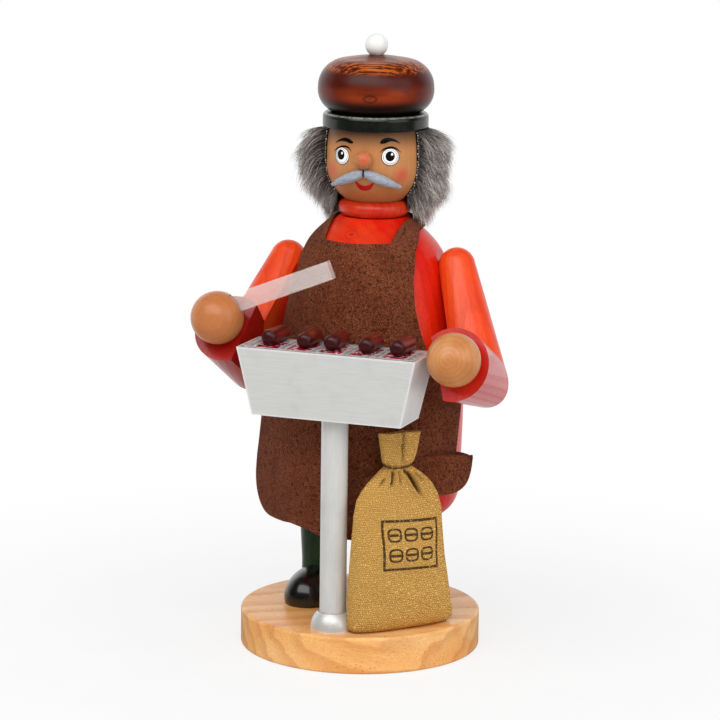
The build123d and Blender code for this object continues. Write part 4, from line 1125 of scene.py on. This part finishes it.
def sack_ring(rise, columns, shrink=0.0):
    """Points of the sack at a height, each with its painted shade in creases, under the tie and inside the
    mouth; shrink is for inside the mouth.
    """
    half, deep, shift = (np.interp(rise, *np.array(SACK_RINGS)[:, (0, k)].T) for k in (1, 2, 3))
    neck = smooth(rise, 88.4, 92.5)
    pucker = smooth(rise, 84.5, 87) * smooth(rise, 91.5, 88.5)
    power = 2 / (2.0 + 0.7 * smooth(40 - rise, -40, 20) + 0.8 * neck)
    back = mix(SACK_BACK + deep + 0.15, SACK_BACK + TIE_OUT, smooth(rise, 84, 87))
    made = []
    for column, (c, s) in enumerate(circle(columns)):
        turn = 360 * column / columns
        x = half * math.copysign(abs(c) ** power, c)
        y = deep * math.copysign(abs(s) ** power, s)
        # Painted shade inside the mouth, and in a band under the tie.
        fold_shade = INSIDE_SHADE if shrink else smooth(abs(rise - TIE_RISE), 1.1, 0.3) * 0.5
        if s > 0:
            relief, crease = sack_front(x, SACK_MIDDLE + shift + x, rise, turn, s, neck)
            y += relief
            fold_shade = max(fold_shade, crease)
        else:
            y += neck * 0.4 * math.cos(x * 0.9)
        gather = pucker * math.cos(math.radians(turn * 13))
        x = (x + gather * 0.35 * c) * (1 - shrink / max(half, 1))
        y = (y + gather * 0.4) * (1 - shrink / max(deep, 1))
        lip = 0.22 * math.sin(x * 0.5 + 0.6) + (0.35 if s > 0 and x < 0 else 0.0)
        place = AXIS + SACK_DIR * (SACK_MIDDLE + shift + x) + SACK_OUT * max(back + y, SACK_BACK)
        made.append((place + UP * (rise + smooth(rise, 94, 101) * lip), fold_shade))
    return made


def sack():
    """A closed loft from the bottom seam up to the mouth and a little way down inside it."""
    columns = 200
    rises = [16.4, 16.55, 16.8, 17.4, 18.4, *np.arange(20.0, 70.0, 1.0), *np.arange(70.0, 102.3, 0.45)]
    made = []
    for rise in rises:
        made += sack_ring(rise, columns)
    for rise in (101.7, 100.0, 97.5):
        made += sack_ring(rise, columns, SACK_WALL)
    points, fold_shades = (list(values) for values in zip(*made))
    rows = len(points) // columns
    faces = rows_to_faces(rows, columns, closed=True)
    for first, way in ((0, -1), ((rows - 1) * columns, 1)):
        ring = range(first, first + columns)
        middle = len(points)
        points.append(sum((points[k] for k in ring), Vector()) / columns)
        fold_shades.append(END_SHADE)
        for a in ring:
            b = first + (a - first + 1) % columns
            faces.append((*(a, b)[::way], middle))
    piece = make("burlap_sack", points, faces, burlap_material(), "stand")
    store(piece, "fold_shade", fold_shades)
    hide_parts("charcoal_sack")


def twine():
    """Two plies twisted into the ring that ties the sack."""
    middle = AXIS + SACK_DIR * (SACK_MIDDLE + TIE_SHIFT) + SACK_OUT * (SACK_BACK + TIE_OUT) + UP * TIE_RISE
    along, out = SACK_DIR * TIE_HALF[0], SACK_OUT * TIE_HALF[1]
    ply_radius, twist_out, twist_up, wave = 0.25, 0.24 / 5.5, 0.22, 0.3
    steps, corners, twists = 180, 8, 22
    points, faces = [], []
    for ply in range(2):
        line = []
        for step in range(steps):
            a = 2 * math.pi * step / steps
            b = a * twists + ply * math.pi
            ring = (along * math.cos(a) + out * math.sin(a)) * (1 + twist_out * math.cos(b))
            line.append(middle + ring + UP * (twist_up * math.sin(b) + wave * math.sin(2 * a)))
        first = len(points)
        for step, place in enumerate(line):
            way = (line[(step + 1) % steps] - line[step - 1]).normalized()
            points += ring_round(place, way, ply_radius, corners)
        faces += rows_to_faces(steps, corners, first, True)
        end = first + (steps - 1) * corners
        for k in range(corners):
            after = (k + 1) % corners
            faces.append((end + k, end + after, first + after, first + k))
    piece = make("sack_twine", points, faces, twine_material(), "stand")
    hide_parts("sack_tie")


# Materials on the CAD nodes

def dress():
    low, high = span("left_hand")
    hand_grain = {"right": ((0.35, 0.2, 0.9), (-60, 40, 100)), "left": ((0.1, -0.97, 0.22), (low + high) / 2)}
    hand_look = {
        "right": {"ring": 2.6, "line": 0.12, "patch": 0.9},
        "left": {"ring": 1.9, "line": 0.16, "patch": 0.8},
    }
    sleeve_grain = {"right": (-0.22, -0.75, -1), "left": (0.35, -0.35, -1)}
    plain = wood("plain_wood", PALE, UP, (30, 40, 0), rough=0.5, coat=0.05)
    looks = {
        "base_disc": wood("base_wood", BASE, (0.92, 0.35, -0.2), (30, 60, -70), ring=8.0, line=0.34,
                          fibre=0.3, patch=0.9, coat=0.2, pores=0.8),
        "grill_post": silver_material("silver_post", UP),
        "grill_post_foot": silver_material("silver_foot", X, metal=0.5),
        "grill_box": silver_material("silver_grill", (1, 0, 0.02)),
        "grill_grate": silver_material("silver_grate", X, grate=True),
        "ember_panel": ember_material(),
        "incense_plate": metal_material("plate_brass", tone(214, 176, 96), tone(184, 142, 70), 0.3),
        "plate_nail": metal_material("nail_steel", tone(190, 190, 188), tone(150, 150, 148), 0.35),
        "coat": coat_material(),
        "collar": wood("collar_red", COLLAR_RED, (0.3, 0.1, 1), (20, 44, 150), line=0.3),
        "head": head_material(),
        "nose": nose_material(),
        "hat_brim": brim_material(),
        "hat_crown": crown_material(),
        "hat_pompom": lacquer("white_lacquer", tone(246, 246, 244), tone(236, 235, 232), 0.25, 0.4),
        "tongs": plastic_material(),
    }
    black = lacquer("black_lacquer", tone(14, 12, 10), tone(22, 20, 18), 0.22, 0.5)
    legs = wood("green_stain", GREEN, UP, (10, 30, 0), ring=2.4, line=0.3)
    moustache = moustache_material()
    sausage = sausage_material()
    for side in ("right", "left"):
        looks[f"{side}_shoe"] = black
        looks[f"{side}_leg"] = legs
        looks[f"moustache_{side}"] = moustache
        looks[f"{side}_upper_arm"] = wood(f"sleeve_{side}", ORANGE, sleeve_grain[side], (0, 60, 0), ring=2.6,
                                          line=0.34, coat=0.2)
        looks[f"{side}_forearm"] = wood(f"cuff_{side}", CRIMSON[side], (0.05, -1, 0.3), (0, 0, 90), line=0.14,
                                        fibre=0.2, coat=0.5)
        looks[f"{side}_hand"] = wood(f"hand_wood_{side}", HAND[side], *hand_grain[side], fibre=0.2,
                                     relief=0.01, **hand_look[side])
    for number in range(1, 6):
        looks[f"sausage_{number}"] = sausage
    for name, piece in nodes.items():
        piece.data.materials.clear()
        piece.data.materials.append(looks.get(name, plain))


# Camera, floor and light, with lengths in metres

CAMERA_PITCH, CAMERA_ROLL = 11.471, 0.732
CAMERA_AWAY, CAMERA_HEIGHT = 1.392729, 0.409175
PHOTO_PIXELS, FOCAL_PIXELS, SHIFT_PIXELS = 720, 3266.811, 3.167
SENSOR = 36


def camera():
    """The photograph's viewpoint, fitted to the object's outline."""
    pitch, roll = math.radians(CAMERA_PITCH), math.radians(CAMERA_ROLL)
    right = outward(CAMERA_TURN + 90)
    ahead = BEHIND * math.cos(pitch) - UP * math.sin(pitch)
    up = right.cross(ahead)
    right, up = right * math.cos(roll) + up * math.sin(roll), up * math.cos(roll) - right * math.sin(roll)
    data = bpy.data.cameras.new("camera")
    data.sensor_width = SENSOR
    data.lens = SENSOR * FOCAL_PIXELS / PHOTO_PIXELS
    data.shift_x = -SHIFT_PIXELS / PHOTO_PIXELS
    data.clip_start, data.clip_end = 0.05, 60
    eye = bpy.data.objects.new("camera", data)
    scene.collection.objects.link(eye)
    place = Matrix((right, up, -ahead)).transposed().to_4x4()
    place.translation = UP * CAMERA_HEIGHT - BEHIND * CAMERA_AWAY
    eye.matrix_world = place
    scene.camera = eye


def path_shares(paint):
    """1 for rays from the camera or through clear pieces, and 1 for rays off gloss."""
    straight, clear, gloss = (paint.output("ShaderNodeLightPath", {}, f"Is {kind} Ray")
                              for kind in ("Camera", "Transmission", "Glossy"))
    return straight.do("MAXIMUM", clear), gloss


def floor():
    """A pale floor that keeps the shadow near the object and goes over into the white background."""
    half = 14.0
    mesh = bpy.data.meshes.new("floor")
    corners = [(-half, -half, 0), (half, -half, 0), (half, half, 0), (-half, half, 0)]
    mesh.from_pydata(corners, [], [(0, 1, 2, 3)])
    piece = bpy.data.objects.new("floor", mesh)
    scene.collection.objects.link(piece)
    paint = Paint("pale_floor")
    mottle = paint.place.noise(30.0).level(0.3, 0.7)
    colour = mottle.between((0.8, 0.8, 0.8, 1), (0.84, 0.84, 0.84, 1))
    matte = paint.output("ShaderNodeBsdfDiffuse", {"Color": colour})
    eye, gloss = path_shares(paint)
    back = paint.vector("DOT_PRODUCT", paint.place, BEHIND).level(-0.05, 0.3, 0.1, 1.0)
    glow = paint.output("ShaderNodeEmission", {"Color": (1, 1, 1, 1), "Strength": eye + gloss * back})
    share = paint.vector("LENGTH", paint.place).level(0.07, 0.34, 0.76, 1.0) * eye + gloss * 0.9
    mixed = paint.output("ShaderNodeMixShader", {0: share, 1: matte, 2: glow})
    paint.node("ShaderNodeOutputMaterial", {"Surface": mixed})
    mesh.materials.append(paint.material)


def lamp(name, turn, rise, size, power, distance=1.7, target=0.14):
    """A soft area lamp in a direction, aimed at a height on the axis of the base."""
    data = bpy.data.lights.new(name, "AREA")
    data.shape = "RECTANGLE"
    data.size, data.size_y = size
    data.energy = power
    piece = bpy.data.objects.new(name, data)
    scene.collection.objects.link(piece)
    climb = math.radians(rise)
    way = outward(turn) * math.cos(climb) + UP * math.sin(climb)
    piece.location = UP * target + way * distance
    piece.rotation_mode = "QUATERNION"
    piece.rotation_quaternion = (-way).to_track_quat("-Z", "Y")


class Sky(Paint):
    """The same short calls on the world's nodes."""

    def __init__(self, world):
        world.use_nodes = True
        self.start(world.node_tree, "Generated")


def light():
    """Two large soft lamps in front, a white backdrop behind and a dim room in front."""
    lamp("key", -1, 47, (2.3, 1.2), 22.5)
    lamp("fill", 72, 24, (1.4, 1.4), 8.0)
    scene.world = bpy.data.worlds.new("studio")
    sky = Sky(scene.world)
    eye, gloss = path_shares(sky)
    back = sky.vector("DOT_PRODUCT", sky.place, BEHIND).level(0.0, 0.75, 0.03, 1.0)
    back = back * sky.vector("DOT_PRODUCT", sky.place, UP).level(0.35, 0.75, 1.0, 0.15)
    rest = sky.math("SUBTRACT", 1.0, eye.do("MAXIMUM", gloss))
    strength = eye + gloss * back + rest * 0.46
    shader = sky.output("ShaderNodeBackground", {"Color": (1, 1, 1, 1), "Strength": strength})
    sky.node("ShaderNodeOutputWorld", {"Surface": shader})


dress()
face_paint()
apron()
pelt()
fur()
pelt_edge()
sack()
twine()
camera()
floor()
light()
